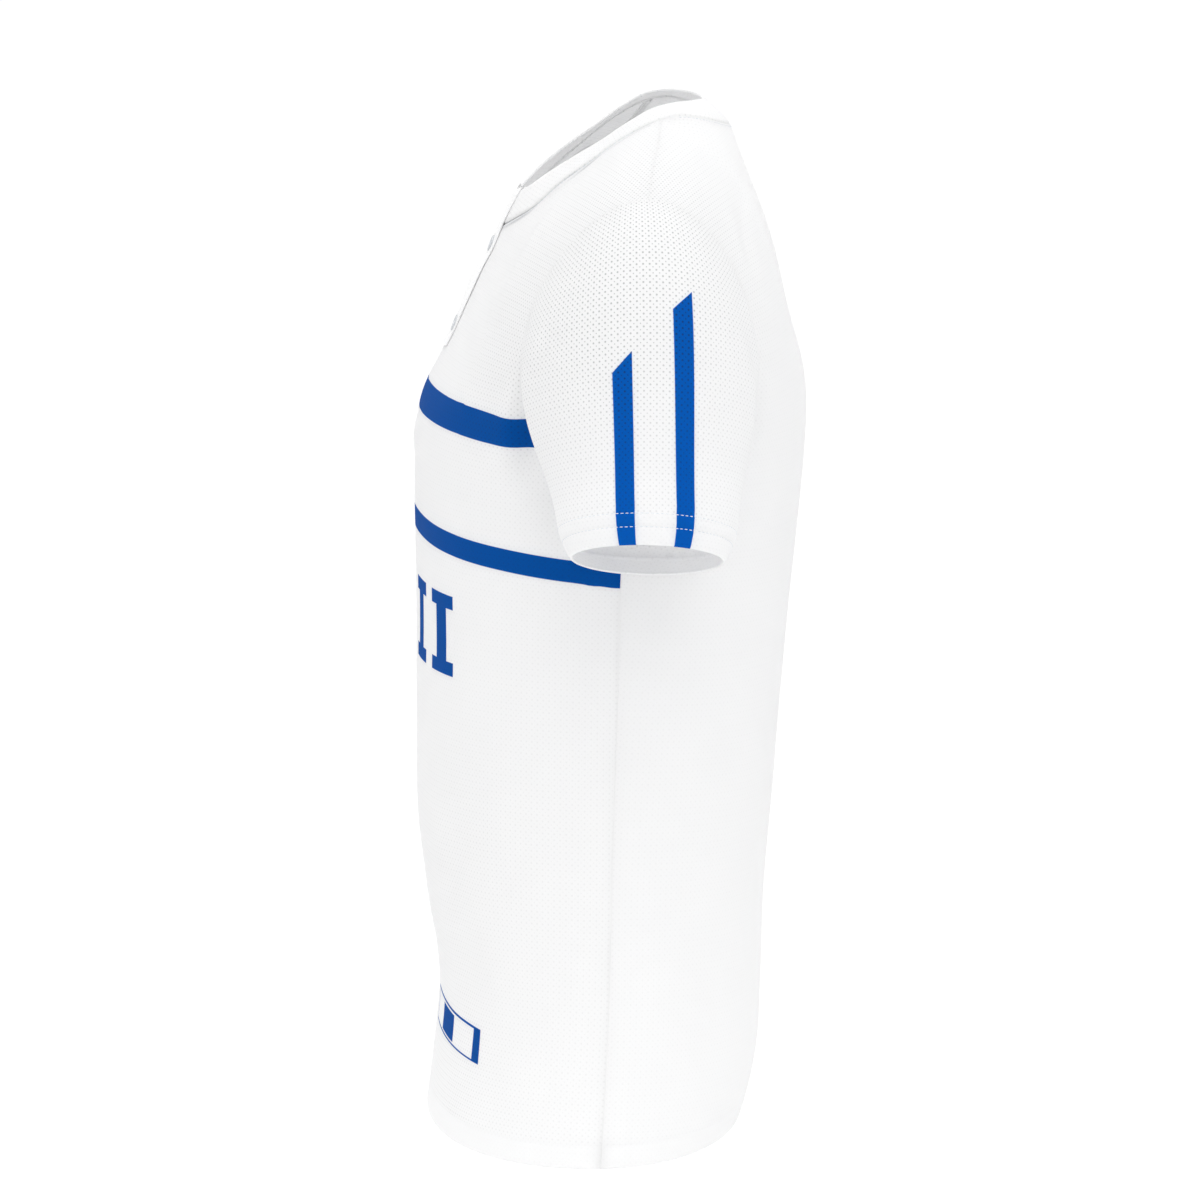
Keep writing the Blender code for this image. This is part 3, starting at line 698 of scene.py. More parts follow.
# %% Creases of each piece, on its flat pattern
# The deep ones beside the armholes are where the arm bends the cloth in.
FRONT_CREASES = [
    Crease(0.186, 0.535, 0.183, 0.440, 0.006, 0.010, 0.0060),
    Crease(0.178, 0.520, 0.120, 0.490, 0.004, 0.012, 0.0020),
    Crease(-0.188, 0.530, -0.181, 0.435, -0.007, 0.010, 0.0055),
    Crease(-0.176, 0.515, -0.110, 0.480, -0.006, 0.013, 0.0022),
    Crease(-0.030, 0.452, 0.034, 0.454, 0.000, 0.010, -0.0014),
    Crease(0.120, 0.060, 0.135, 0.260, 0.006, 0.022, 0.0020),
    Crease(-0.105, 0.040, -0.130, 0.240, -0.008, 0.024, 0.0023),
]
BACK_CREASES = [
    Crease(0.172, 0.530, 0.168, 0.450, 0.006, 0.010, 0.0045),
    Crease(-0.173, 0.528, -0.166, 0.445, -0.006, 0.010, 0.0048),
    Crease(-0.098, 0.632, -0.165, 0.575, -0.008, 0.009, 0.0014),
    Crease(0.060, 0.050, 0.090, 0.270, 0.006, 0.024, 0.0022),
    Crease(-0.085, 0.070, -0.060, 0.300, -0.008, 0.022, 0.0020),
]
LEFT_CREASES = [
    Crease(0.048, 0.200, 0.086, 0.120, 0.006, 0.010, 0.0012),
    Crease(-0.100, 0.090, -0.060, 0.150, 0.004, 0.010, 0.0014),
    Crease(0.110, 0.080, 0.075, 0.150, -0.004, 0.010, 0.0016),
]
RIGHT_CREASES = [
    Crease(-0.105, 0.085, -0.070, 0.150, 0.005, 0.011, 0.0016),
    Crease(0.095, 0.095, 0.065, 0.160, -0.004, 0.009, 0.0014),
]


def panel_depth(grid, flat, creases, neck_deep):
    up, right = run(grid, 0), run(grid, 1)
    down, left = up[-1] - up, right[:, -1:] - right
    hold = ease(np.minimum(np.minimum(left, right), down) / HOLD) * ease(up / HOLD)
    depth = hem_depth(up, right, BODY_HEM, BODY_PULL) + seam_depth(left, up) + seam_depth(right, up)
    neck = abs(grid[-1:, :, 0]) < NECK_HALF_WIDTH - 0.0005
    depth = depth + seam_depth(down, right, np.where(neck, neck_deep, DITCH_DEEP))
    return depth + crease_depth(flat, creases) * hold


def sleeve_depth(grid, flat, creases):
    up, along = run(grid, 0), run(grid, 1)
    down = up[-1] - up
    hold = ease(down / HOLD) * ease((up - SLEEVE_HEM_END) / HOLD)
    depth = hem_depth(up, along, SLEEVE_HEM, CUFF_PULL) + seam_depth(down, along)
    return depth + crease_depth(flat, creases) * hold


def band_depth(grid):
    up, along = run(grid, 0), run(grid, 1)
    edge = folded_edge(up[-1] - up, BAND_ROUND, BAND_DEEP)
    return seam_depth(up, along, NECK_DITCH) + edge - BAND_PROUD


front, front_out = shaped(
    front_base, panel_depth(front_base, front_flat, FRONT_CREASES, NECK_DITCH)
)
back, back_out = shaped(
    back_base, panel_depth(back_base, back_flat, BACK_CREASES, BACK_NECK_DITCH)
)
left, left_out = shaped(left_base, sleeve_depth(left_base, left_flat, LEFT_CREASES), True)
right, right_out = shaped(right_base, sleeve_depth(right_base, right_flat, RIGHT_CREASES), True)
band, band_out = shaped(band_base, band_depth(band_base), True)
deepest = float(abs(front - front_base).max()) * 1000
print("deepest point of the front:", round(deepest, 2), "mm")

# %% [markdown]
# ## Sheets with a wall
# Each grid is made a mesh with its flat pattern as its UV map, and Solidify gives it a
# wall on the inside, with a second material there: print on polyester doesn't go through
# the cloth. A vertex group tells Solidify where the hem's second layer makes it thicker.

# %% Make the sheets
ONE_LAYER, TWO_LAYERS, BAND_WALL = 0.0009, 0.0016, 0.0020
HEM_PAST_STITCHES = 0.002             # how far the turned-up edge goes past its stitches


def make_sheet(node, grid, flat, folded, ring=False, wall=TWO_LAYERS):
    """The cloth that stands in for a node, with where it is folded double."""
    points, weight = (grid[:, :-1], folded[:, :-1]) if ring else (grid, folded)
    name = node.removesuffix("_panel") + "_cloth"
    sheet = new_mesh(name, points.reshape(-1, 3), quads(*grid.shape[:2], ring))
    corners = np.stack([flat[:-1, :-1], flat[:-1, 1:], flat[1:, 1:], flat[1:, :-1]], -2)
    uv = sheet.data.uv_layers.new(name="flat_pattern")
    uv.data.foreach_set("uv", corners.reshape(-1))
    group = sheet.vertex_groups.new(name="layers")
    for level in (0.0, 1.0):
        group.add(np.flatnonzero(np.isclose(weight.reshape(-1), level)).tolist(), level, "REPLACE")
    only(sheet)
    bpy.ops.object.shade_smooth()
    bpy.ops.object.modifier_add(type="SOLIDIFY")
    solid = sheet.modifiers[-1]
    solid.thickness, solid.offset = wall, -1
    solid.vertex_group, solid.thickness_vertex_group = "layers", ONE_LAYER / wall
    solid.material_offset = solid.material_offset_rim = 1
    bpy.ops.object.modifier_apply(modifier=solid.name)
    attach(sheet, "root")
    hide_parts(node)
    return sheet


def in_hem(grid, lines):
    return (run(grid, 0) < max(lines) + HEM_PAST_STITCHES).astype(float)


front_cloth = make_sheet("front_panel", front, front_flat, in_hem(front_base, BODY_HEM))
back_cloth = make_sheet("back_panel", back, back_flat, in_hem(back_base, BODY_HEM))
left_cloth = make_sheet("sleeve_left", left, left_flat, in_hem(left_base, SLEEVE_HEM), True)
right_cloth = make_sheet("sleeve_right", right, right_flat, in_hem(right_base, SLEEVE_HEM), True)
band_cloth = make_sheet("neck_band", band, band_flat, np.ones(band.shape[:2]), True, BAND_WALL)

# %% [markdown]
# ## The placket
# Two strips close the neck opening: one on top, and one behind that the buttons are sewn
# to. The top strip is laid over the front and the collar, a little above their surface.

# %% Lay the two strips
BUTTON_HEIGHTS = (-0.0935, -0.1465)
STRIP_STEPS = (0.0, 0.0004, 0.0009, 0.0017, 0.0023)
TOP_LIFT, UNDER_LIFT = 0.0014, -0.0031               # over the front, and behind it
STRIP_WALL, STRIP_EDGE, STRIP_EDGE_DEEP = 0.0011, 0.0012, 0.0003
# From its edges to the line pressed into it, how deep that is, and on to its stitches.
STRIP_LINE, STRIP_PULL, STRIP_STITCHES = 0.0020, 0.0002, 0.0022
Puff = namedtuple("Puff", "height high reach")
PUFFS = [Puff(-0.118, 0.0015, 0.014), Puff(-0.162, 0.0009, 0.007)]
PUFFS += [Puff(height, -0.0006, 0.006) for height in BUTTON_HEIGHTS]


def puff(height, across):
    """The strip stands off the front between its buttons, most along its middle."""
    return sum(p.high * dip(height - p.height, p.reach) for p in PUFFS) * (1 - across**2)


def laid_strip(node, form, lift, puffed=0):
    edges = dict(start=STRIP_STEPS, end=STRIP_STEPS)
    base = fine(form, dict(counts=[70], **edges), dict(counts=[10], **edges))
    up, along = run(base, 0), run(base, 1)
    away = np.minimum(np.minimum(up, up[-1] - up), np.minimum(along, along[:, -1:] - along))
    depth = folded_edge(away, STRIP_EDGE, STRIP_EDGE_DEEP)
    depth = depth + STRIP_PULL * dip(away - STRIP_LINE, STITCH_WIDTH)
    across = 2 * along / along[:, -1:] - 1
    strip, out = shaped(base, depth - lift - puffed * puff(base[..., 2], across))
    flat = np.stack([along - along[:, -1:] / 2, up], -1)
    cloth = make_sheet(node, strip, flat, np.ones(strip.shape[:2]), wall=STRIP_WALL)
    return cloth, strip, out


top_cloth, top_strip, top_out = laid_strip("placket_top", placket_form, TOP_LIFT, puffed=1)
under_cloth = laid_strip("placket_under", placket_form, UNDER_LIFT)[0]

# %% [markdown]
# ## Pin-dot mesh and its print
# The cloth is polyester knitted so that small round holes stand in a square lattice,
# about 4 mm apart, with a smaller hole in the middle of each square. To the eye it is
# matte white with a faint dotted grain, darker where the holes stand open over a tight
# place such as the shoulder. Cutting some forty thousand holes would be far too heavy,
# and they are hardly wider than a millimetre, so they are drawn by the material, with a
# bump that sinks them. Each hole is painted dark: painted shade for the inside seen
# through it, set stronger where the mesh stands open and where that inside lies in
# deeper shade. The blue is dye in the fibre: it has no thickness and stays on the
# outside, so it is drawn from blocks measured in millimetres on the flat pattern. The
# front's blue is painted a shade darker than the sleeves': painted shade, as the front
# turns away at a slant.

# %% Colours and nodes
Block = namedtuple("Block", "left right low high slant bow lean ink", defaults=(0, 0, 0, True))


def linear(colour):
    """An sRGB hex colour as linear red, green, blue and alpha."""
    parts = [int(colour[i:i + 2], 16) / 255 for i in (0, 2, 4)]
    return (*[p / 12.92 if p < 0.04045 else ((p + 0.055) / 1.055) ** 2.4 for p in parts], 1)


def fill(node, inputs):
    """Sets a node's inputs, by name or in order; a node or socket among them is linked."""
    for key, value in inputs.items() if isinstance(inputs, dict) else enumerate(inputs):
        if isinstance(value, bpy.types.Node):
            value = value.outputs[0]
        if isinstance(value, bpy.types.NodeSocket):
            node.id_data.links.new(value, node.inputs[key])
        else:
            node.inputs[key].default_value = value
    return node


def add(tree, kind, inputs=(), **settings):
    """Adds a node with its settings and inputs."""
    node = tree.nodes.new("ShaderNode" + kind)
    for key, value in settings.items():
        setattr(node, key, value)
    return fill(node, inputs)


def new_material(name):
    made = bpy.data.materials.new(name)
    made.use_nodes = True
    return made, made.node_tree, made.node_tree.nodes["Principled BSDF"]


def let_through(tree, skin, colour, share):
    """A share of the light goes through the cloth and leaves its other side."""
    through = add(tree, "BsdfTranslucent", {"Color": colour})
    both = add(tree, "MixShader", {0: share, 1: skin, 2: through})
    fill(tree.nodes["Material Output"], {"Surface": both})


# %% The print, in millimetres on each flat pattern
# slant tips a block's ends, bow bends it down towards the sides, lean tips its sides.
CHEST_BARS = [
    Block(-300, 300, 471.5, 491.2),
    Block(-300, 300, 393.6, 408.2, bow=1.6),
]
PLAIN_NUMBER = [
    Block(left, right, low, high)
    for start in (79.0, 20.0)
    for left, right, low, high in (
        (start + 11.0, start + 30.0, 311.0, 364.0),
        (start, start + 41.0, 355.0, 364.0),
        (start, start + 41.0, 311.0, 320.0),
    )
]
PLAIN_TAB = [
    Block(6.0, 141.0, 59.5, 82.7, slant=-0.05),
    Block(7.4, 129.5, 60.9, 81.3, slant=-0.05, ink=False),
    Block(44.0, 85.0, 62.2, 80.0, slant=-0.05),
]
SLEEVE_STRIPES = [
    Block(-25.3, -12.6, -40.0, 116.5, slant=1.02, lean=0.012),
    Block(14.4, 27.4, -40.0, 155.7, slant=0.95, lean=0.030),
]
print("printed blocks:", len(CHEST_BARS + PLAIN_NUMBER + PLAIN_TAB + SLEEVE_STRIPES))

# %% How a print and a lattice of holes are drawn
STRIPE_LEVEL = 65.0                   # a leaning block is stated at this height
INK_EDGE = 0.12                       # the dye spreads about this far, in mm


def printed(tree, at, blocks):
    """1 on the printed blocks and 0 between them, from the distance to their edges."""
    axes = add(tree, "SeparateXYZ", [at])
    nearest = None
    for block in blocks:
        u, v = axes.outputs["X"], axes.outputs["Y"]
        if block.lean:
            above = add(tree, "Math", [v, -STRIPE_LEVEL], operation="ADD")
            u = add(tree, "Math", [above, block.lean, u], operation="MULTIPLY_ADD")
        u = add(tree, "Math", [u, -(block.left + block.right) / 2], operation="ADD")
        if block.slant:
            v = add(tree, "Math", [u, -block.slant, v], operation="MULTIPLY_ADD")
        if block.bow:
            square = add(tree, "Math", [u, u], operation="MULTIPLY")
            v = add(tree, "Math", [square, block.bow / 1e4, v], operation="MULTIPLY_ADD")
        v = add(tree, "Math", [v, -(block.low + block.high) / 2], operation="ADD")
        past = []
        for off, half in ((u, (block.left - block.right) / 2), (v, (block.low - block.high) / 2)):
            off = add(tree, "Math", [off], operation="ABSOLUTE")
            past.append(add(tree, "Math", [off, half], operation="ADD"))
        edge = add(tree, "Math", past, operation="MAXIMUM")
        if not block.ink:
            edge = add(tree, "Math", [edge, -1], operation="MULTIPLY")
        if nearest is None:
            nearest = edge
        else:
            join = "MINIMUM" if block.ink else "MAXIMUM"
            nearest = add(tree, "Math", [nearest, edge], operation=join)
    return add(tree, "MapRange", {"Value": nearest, "From Min": INK_EDGE, "From Max": -INK_EDGE})


def holes(tree, at, radius, shift):
    """1 in each hole of a lattice and 0 in the cloth between, soft at the rim."""
    cells = [at, (1 / LATTICE, 1 / LATTICE, 0), (shift, shift, 0)]
    cell = add(tree, "VectorMath", cells, operation="MULTIPLY_ADD")
    cell = add(tree, "VectorMath", [cell], operation="FRACTION")
    cell = add(tree, "VectorMath", [cell, (0.5, 0.5, 0)], operation="SUBTRACT")
    cell = add(tree, "VectorMath", [cell, (LATTICE, LATTICE, 0)], operation="MULTIPLY")
    off = add(tree, "VectorMath", [cell], operation="LENGTH").outputs["Value"]
    soft = {"Value": off, "From Min": radius + HOLE_SOFT, "From Max": radius - HOLE_SOFT}
    return add(tree, "MapRange", soft, interpolation_type="SMOOTHSTEP")


# %% The knitted mesh
LATTICE = 4.0                         # mm between the holes, across and up
WIDE_HOLE, SMALL_HOLE, HOLE_SOFT = 0.62, 0.40, 0.22    # radii, and their soft rim, in mm
WALE = 1.3              # mm; the real columns of loops, 0.5 mm, are too fine to show
# HOLE_SHADE and DITCH_SHADE are painted shade: the shadowed inside seen through a hole, and the
# shadow in the neck seam's ditch.
WHITE, WHITE_SHADE, HOLE_SHADE, DITCH_SHADE = "FAFAFA", "E7E7E8", "20242B", "70757C"
# the front's blue is the sleeves' dye painted a shade darker: painted shade, as the front turns
# away at a slant
BLUE, SHADED_FRONT_BLUE = "0366C4", "035BB0"   # the sleeves' dye, and the front's, a shade deeper
INK_HOLE_SHADE = 0.85                  # how dark a hole is where the mesh is printed


def knitted_mesh(name, blocks=(), print_colour=BLUE, mirror=1, hole_size=1.0, glow=0.45, open_shade=0.42):
    """White pin-dot mesh, with a blue print where blocks are given."""
    made, tree, skin = new_material(name)
    flat = add(tree, "UVMap", uv_map="flat_pattern")
    at = add(tree, "VectorMath", [flat, (1000 * mirror, 1000, 0)], operation="MULTIPLY")
    # the holes are painted dark, as painted shade for the inside seen through them; this attribute
    # sets how strongly, for how open the mesh stands and how deep that shade is
    hole_shade_share = add(tree, "Attribute", attribute_name="hole_shade_strength").outputs["Fac"]
    wide = holes(tree, at, WIDE_HOLE * hole_size, 0.0)
    small = holes(tree, at, SMALL_HOLE * hole_size, 0.5)
    hole = add(tree, "Math", [wide, small], operation="MAXIMUM")
    open_shaded_hole = add(tree, "Math", [hole, hole_shade_share], operation="MULTIPLY")
    # a large, faint unevenness of tone, about 45 mm across, as dye and light give a knit
    place = add(tree, "TexCoord").outputs["Object"]
    cloud = add(tree, "TexNoise", {"Vector": place, "Scale": 22.0, "Detail": 2.0})
    tone = add(tree, "MapRange", {"Value": cloud, "To Min": 0.0, "To Max": 0.10})
    ground = {"Factor": tone, 6: linear(WHITE), 7: linear(WHITE_SHADE)}
    colour = add(tree, "Mix", ground, data_type="RGBA").outputs[2]
    shade = open_shade
    if blocks:
        ink = printed(tree, at, blocks)
        with_print = {"Factor": ink, 6: colour, 7: linear(print_colour)}
        colour = add(tree, "Mix", with_print, data_type="RGBA").outputs[2]
        shade = add(tree, "MapRange", {"Value": ink, "To Min": shade, "To Max": INK_HOLE_SHADE})
    # the ditch of the neck seam holds a shadow that is finer than the mesh can show
    ditch = add(tree, "Attribute", attribute_name="seam_shade").outputs["Fac"]
    dark = add(tree, "Math", [open_shaded_hole, shade], operation="MULTIPLY")
    for share, shadow in ((ditch, DITCH_SHADE), (dark, HOLE_SHADE)):
        shaded = {"Factor": share, 6: colour, 7: linear(shadow)}
        colour = add(tree, "Mix", shaded, data_type="RGBA").outputs[2]
    # columns of loops and a little fuzz, with the holes sunk into them; heights are in mm
    loops = {"Vector": at, "Scale": math.pi / 10 / WALE, "Distortion": 0.4}
    wales = add(tree, "TexWave", loops, bands_direction="X")
    fuzz = add(tree, "TexNoise", {"Vector": at, "Scale": 1.1, "Detail": 3.0})
    height = add(tree, "Math", [wales, 0.03], operation="MULTIPLY")
    height = add(tree, "Math", [fuzz, 0.10, height], operation="MULTIPLY_ADD")
    height = add(tree, "Math", [open_shaded_hole, -0.25, height], operation="MULTIPLY_ADD")
    fill(skin, {
        "Base Color": colour,
        "Roughness": add(tree, "MapRange", {"Value": fuzz, "To Min": 0.72, "To Max": 0.90}),
        "Normal": add(tree, "Bump", {"Strength": 0.6, "Distance": 0.001, "Height": height}),
        "IOR": 1.45, "Specular IOR Level": 0.08,
        "Sheen Weight": 0.02, "Sheen Roughness": 0.5,
    })
    let_through(tree, skin, colour, glow)
    return made


FRONT_PRINT = CHEST_BARS + PLAIN_NUMBER + PLAIN_TAB
front_knit = knitted_mesh("pin_dot_mesh_front_print", FRONT_PRINT, print_colour=SHADED_FRONT_BLUE)
left_knit = knitted_mesh("pin_dot_mesh_left_sleeve_print", SLEEVE_STRIPES)
right_knit = knitted_mesh("pin_dot_mesh_right_sleeve_print", SLEEVE_STRIPES, mirror=-1)
plain_knit = knitted_mesh("pin_dot_mesh_white")
band_knit = knitted_mesh("pin_dot_mesh_neck_band", hole_size=0.8, glow=0.40)
strip_knit = knitted_mesh("pin_dot_mesh_placket", hole_size=0.8, glow=0.15)
inner_knit = knitted_mesh("pin_dot_mesh_inside", glow=0.6, open_shade=0.30)
sleeve_inside = knitted_mesh("pin_dot_mesh_sleeve_inside", glow=0.85, open_shade=0.30)
for sheet, face, back_face in (
    (front_cloth, front_knit, inner_knit), (back_cloth, plain_knit, inner_knit),
    (left_cloth, left_knit, sleeve_inside), (right_cloth, right_knit, sleeve_inside),
    (band_cloth, band_knit, inner_knit),
    (top_cloth, strip_knit, inner_knit), (under_cloth, strip_knit, inner_knit),
):
    sheet.data.materials.append(face)
    sheet.data.materials.append(back_face)
print("nodes in the front's material:", len(front_knit.node_tree.nodes))

# %% How dark the holes are painted: where the mesh is pulled tight, with painted shade behind them
# Spots where the holes are painted darker: the mesh is stretched open there, and painted shade
# stands for the darker inside seen through it.
StretchAndShade = namedtuple("StretchAndShade", "x y z reach much")
STRETCH_AND_SHADE = [
    StretchAndShade(0.200, -0.009, -0.060, 0.085, 0.65),   # over the shoulder's point
    StretchAndShade(0.262, -0.050, -0.130, 0.070, 0.40),   # the sleeve's front
    StretchAndShade(0.160, -0.095, -0.150, 0.060, 0.32),   # in front of the armhole
    StretchAndShade(0.110, -0.120, -0.480, 0.070, 0.14),   # the front of the hip
    StretchAndShade(0.080, -0.130, -0.640, 0.080, 0.30),   # the lower front, above its hem
]


def hole_shade_strength(sheet, at_rest, edge=None):
    """How dark the holes are painted at each point, from 0 to 1: how far they stand open, and
    painted shade for the inside seen through them.
    """
    mesh = sheet.data
    points = np.zeros(3 * len(mesh.vertices))
    mesh.vertices.foreach_get("co", points)
    points = points.reshape(-1, 3)
    near = np.stack([abs(points[:, 0]), points[:, 1], points[:, 2]], -1)
    value = np.full(len(points), at_rest)
    for pull in STRETCH_AND_SHADE:
        off = np.linalg.norm(near - np.array(pull[:3]), axis=1)
        value += pull.much * np.exp(-((off / pull.reach) ** 2))
    if edge is not None:                        # two layers hide each other's holes
        grid, width, left_open = edge
        away = run(grid, 0).reshape(-1)
        away = np.tile(away, len(points) // len(away))
        folded = 1 - ease((away - width) / 0.002)
        value = value * (1 - folded) + left_open * folded
    layer = mesh.attributes.new("hole_shade_strength", "FLOAT", "POINT")
    layer.data.foreach_set("value", np.clip(value, 0, 1))
    mesh.attributes.new("seam_shade", "FLOAT", "POINT")
    return float(value.mean())


# how dark the holes of the hem's double layer are painted
BODY_EDGE, CUFF_EDGE = (0.0150, 0.05), (0.0200, 0.10)     # width, and how open it is
for sheet, at_rest, edge in (
    (front_cloth, 0.13, (front, *BODY_EDGE)), (back_cloth, 0.09, (back, *BODY_EDGE)),
    (left_cloth, 0.28, (left[:, :-1], *CUFF_EDGE)),
    (right_cloth, 0.28, (right[:, :-1], *CUFF_EDGE)),
    (band_cloth, 0.25, None), (top_cloth, 0.20, None), (under_cloth, 0.20, None),
):
    print(sheet.name, "mean tightness", round(hole_shade_strength(sheet, at_rest, edge), 2))

# %% [markdown]
# ## Thread
# The body's hem is held by one row of stitches and each cuff by two, and the neck seam
# and the placket are stitched beside their edges. A stitch is a short, fat, rounded piece
# of thread, half sunk in the cloth. One is modelled as a squashed sphere and then copied
# along each line by its points, because a thousand separate objects would be slow, and a
# dashed line in the material would stay flat where the hem is seen edge on.

# %% One stitch, and rows of it
STITCH_PITCH, STITCH_LENGTH, THREAD_WIDTH = 0.0032, 0.0023, 0.00055
bpy.ops.object.select_all(action="DESELECT")
bpy.ops.mesh.primitive_uv_sphere_add(segments=6, ring_count=4, radius=0.5)
bpy.ops.transform.resize(value=(THREAD_WIDTH, THREAD_WIDTH * 0.8, STITCH_LENGTH))
bpy.ops.object.transform_apply(location=False, rotation=False, scale=True)
one_stitch = bpy.context.object
STITCH_POINTS = np.array([v.co for v in one_stitch.data.vertices])[:, [2, 0, 1]]
STITCH_FACES = [list(p.vertices) for p in one_stitch.data.polygons]
bpy.data.objects.remove(one_stitch)


def at_height(grid, out, distance):
    """The line at one distance from a grid's first row: its points and their normals."""
    rows, cols = grid.shape[:2]
    away = run(grid, 0)
    at = np.array([np.interp(distance, away[:, c], np.arange(rows)) for c in range(cols)])
    low = np.clip(np.floor(at).astype(int), 0, rows - 2)
    part, c = (at - low)[:, None], np.arange(cols)
    return [g[low, c] * (1 - part) + g[low + 1, c] * part for g in (grid, out)]


def tidy_normals(merge=0):
    """Turns the active mesh's faces outwards, with points this close joined first."""
    bpy.ops.object.mode_set(mode="EDIT")
    bpy.ops.mesh.select_all(action="SELECT")
    if merge:
        bpy.ops.mesh.remove_doubles(threshold=merge)
    bpy.ops.mesh.normals_make_consistent(inside=False)
    bpy.ops.object.mode_set(mode="OBJECT")


def evenly(line, out, step):
    """Points and normals at even steps along a line."""
    length = np.concatenate([[0], np.cumsum(np.linalg.norm(np.diff(line, axis=0), axis=1))])
    spots = np.linspace(0, length[-1], max(int(length[-1] / step), 2))
    points, sides = (
        np.stack([np.interp(spots, length, v[:, k]) for k in range(3)], -1) for v in (line, out)
    )
    return points, unit(sides)


def stitches(name, rows, lift=0.0001):
    """One mesh of stitches along some lines, each given as its points and normals."""
    points, faces = [], []
    for line, out in rows:
        spot, up = evenly(line, out, STITCH_PITCH)
        ahead = unit(np.gradient(spot, axis=0))
        side = np.cross(up, ahead)
        made = (
            (spot + up * lift)[:, None]
            + ahead[:, None] * STITCH_POINTS[None, :, :1]
            + side[:, None] * STITCH_POINTS[None, :, 1:2]
            + up[:, None] * STITCH_POINTS[None, :, 2:]
        )
        for stitch in made:
            start = len(points) * len(stitch)
            points.append(stitch)
            faces += [[start + i for i in face] for face in STITCH_FACES]
    thread = new_mesh(name, np.concatenate(points), faces)
    only(thread)
    tidy_normals()
    bpy.ops.object.shade_smooth()
    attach(thread, "root")
    thread.data.materials.append(thread_white)
    print(f"{name}: {len(points)} stitches, {len(faces)} faces")


def sewing_thread():
    """Spun polyester thread: a slight gloss along it, and a twist too fine to model. Its white is
    painted a little grey-blue, as painted shade for the shadow the stitches sit in.
    """
    made, tree, skin = new_material("sewing_thread_white")
    place = add(tree, "TexCoord").outputs["Object"]
    # plies about 0.3 mm apart, drawn at 0.6 mm so that they show
    plies = {"Vector": place, "Scale": math.pi / 10 / 0.0006, "Distortion": 1.0}
    twist = add(tree, "TexWave", plies, bands_direction="DIAGONAL").outputs["Fac"]
    # white thread painted grey-blue: painted shade for the shadow in its groove
    tone = {"Factor": twist, 6: linear("D3D8DF"), 7: linear("EEF1F5")}
    fill(skin, {
        "Base Color": add(tree, "Mix", tone, data_type="RGBA").outputs[2],
        "Normal": add(tree, "Bump", {"Strength": 0.4, "Distance": 0.0001, "Height": twist}),
        "Roughness": 0.55, "Sheen Weight": 0.1,
    })
    return made


thread_white = sewing_thread()

# %% Stitch the hems, the neck and the placket
NECK_STITCHES = 0.0026                # from the neck seam to the stitches below it


def keep(lines, inside):
    return [line[inside] for line in lines]


def hem_rows(grid, out, lines):
    return [at_height(grid, out, line) for line in lines]


def neck_row(grid, out):
    """A line just below the neck seam, between the two shoulder seams."""
    line = at_height(grid[::-1], out[::-1], NECK_STITCHES)
    return keep(line, abs(line[0][:, 0]) < NECK_HALF_WIDTH - 0.001)


def strip_rows(strip, out, inset):
    """Lines beside both long edges of the placket, and across its foot."""
    across = [np.swapaxes(g, 0, 1) for g in (strip, out)]
    rows = []
    for grids in (across, [g[::-1] for g in across], (strip, out)):
        length = run(grids[0], 1)[0]
        inner = (length > inset) & (length < length[-1] - inset)
        rows.append(keep(at_height(*grids, inset), inner))
    return rows


body_rows = hem_rows(front, front_out, BODY_HEM) + hem_rows(back, back_out, BODY_HEM)
cuff_rows = hem_rows(left, left_out, SLEEVE_HEM) + hem_rows(right, right_out, SLEEVE_HEM)
neck_rows = [neck_row(front, front_out), neck_row(back, back_out)]
stitches("hem_stitches", body_rows, lift=-0.0002)
stitches("cuff_stitches", cuff_rows)
stitches("neck_stitches", neck_rows, lift=0.0)
stitches("placket_stitches", strip_rows(top_strip, top_out, STRIP_STITCHES), lift=-0.00005)

# %% [markdown]
# ## Seam allowances
# Where two panels meet, their edges are turned in and overlocked together, about 3 mm
# wide. The strip is thin and lets nearly all the light through, so from outside a seam
# shows as little more than a fine ditch, and through the hem and the cuffs as a narrow
# line. Each strip is laid under the two panels from their own grids, so it follows the
# seam round corners.

# %% Lay a strip behind each seam
ALLOWANCE, BEHIND, STRIP_THICK = 0.0030, 0.0013, 0.0004
WELD = 0.00002                        # points of a strip this close are joined


def rims(grid, out):
    """Each edge of a grid, with two lines in from it, all pushed behind the cloth."""
    grids = (grid, out)
    across = [np.swapaxes(g, 0, 1) for g in grids]
    made = {}
    for edge, turned in {
        "foot": grids, "top": [g[::-1] for g in grids],
        "first": across, "last": [g[::-1] for g in across],
    }.items():
        lines = (at_height(*turned, d) for d in (0.0, ALLOWANCE / 2, ALLOWANCE))
        made[edge] = [line - side * BEHIND for line, side in lines]
    return made


def seam_strip(name, near, far):
    """A strip from inside one panel, under the seam, to inside the nearest part of
    another."""
    far = [np.concatenate(lines) for lines in zip(*far)]
    nearest = np.array([np.argmin(((far[0] - p) ** 2).sum(1)) for p in near[0]])
    middle = (near[0] + far[0][nearest]) / 2
    grid = np.stack([near[2], near[1], middle, far[1][nearest], far[2][nearest]])
    return new_mesh(name, grid.reshape(-1, 3), quads(*grid.shape[:2]))


front_rims, back_rims = rims(front, front_out), rims(back, back_out)
left_rim, right_rim = rims(left, left_out)["top"], rims(right, right_out)["top"]
band_rim = rims(band, band_out)["foot"]


def neck_part(rims):
    return keep(rims["top"], abs(rims["top"][0][:, 0]) < NECK_HALF_WIDTH)


def shoulder(rims, sign):
    return keep(rims["top"], rims["top"][0][:, 0] * sign >= NECK_HALF_WIDTH)


def below_arm(lines):
    return keep(lines, lines[0][:, 2] <= UNDERARM_Z)


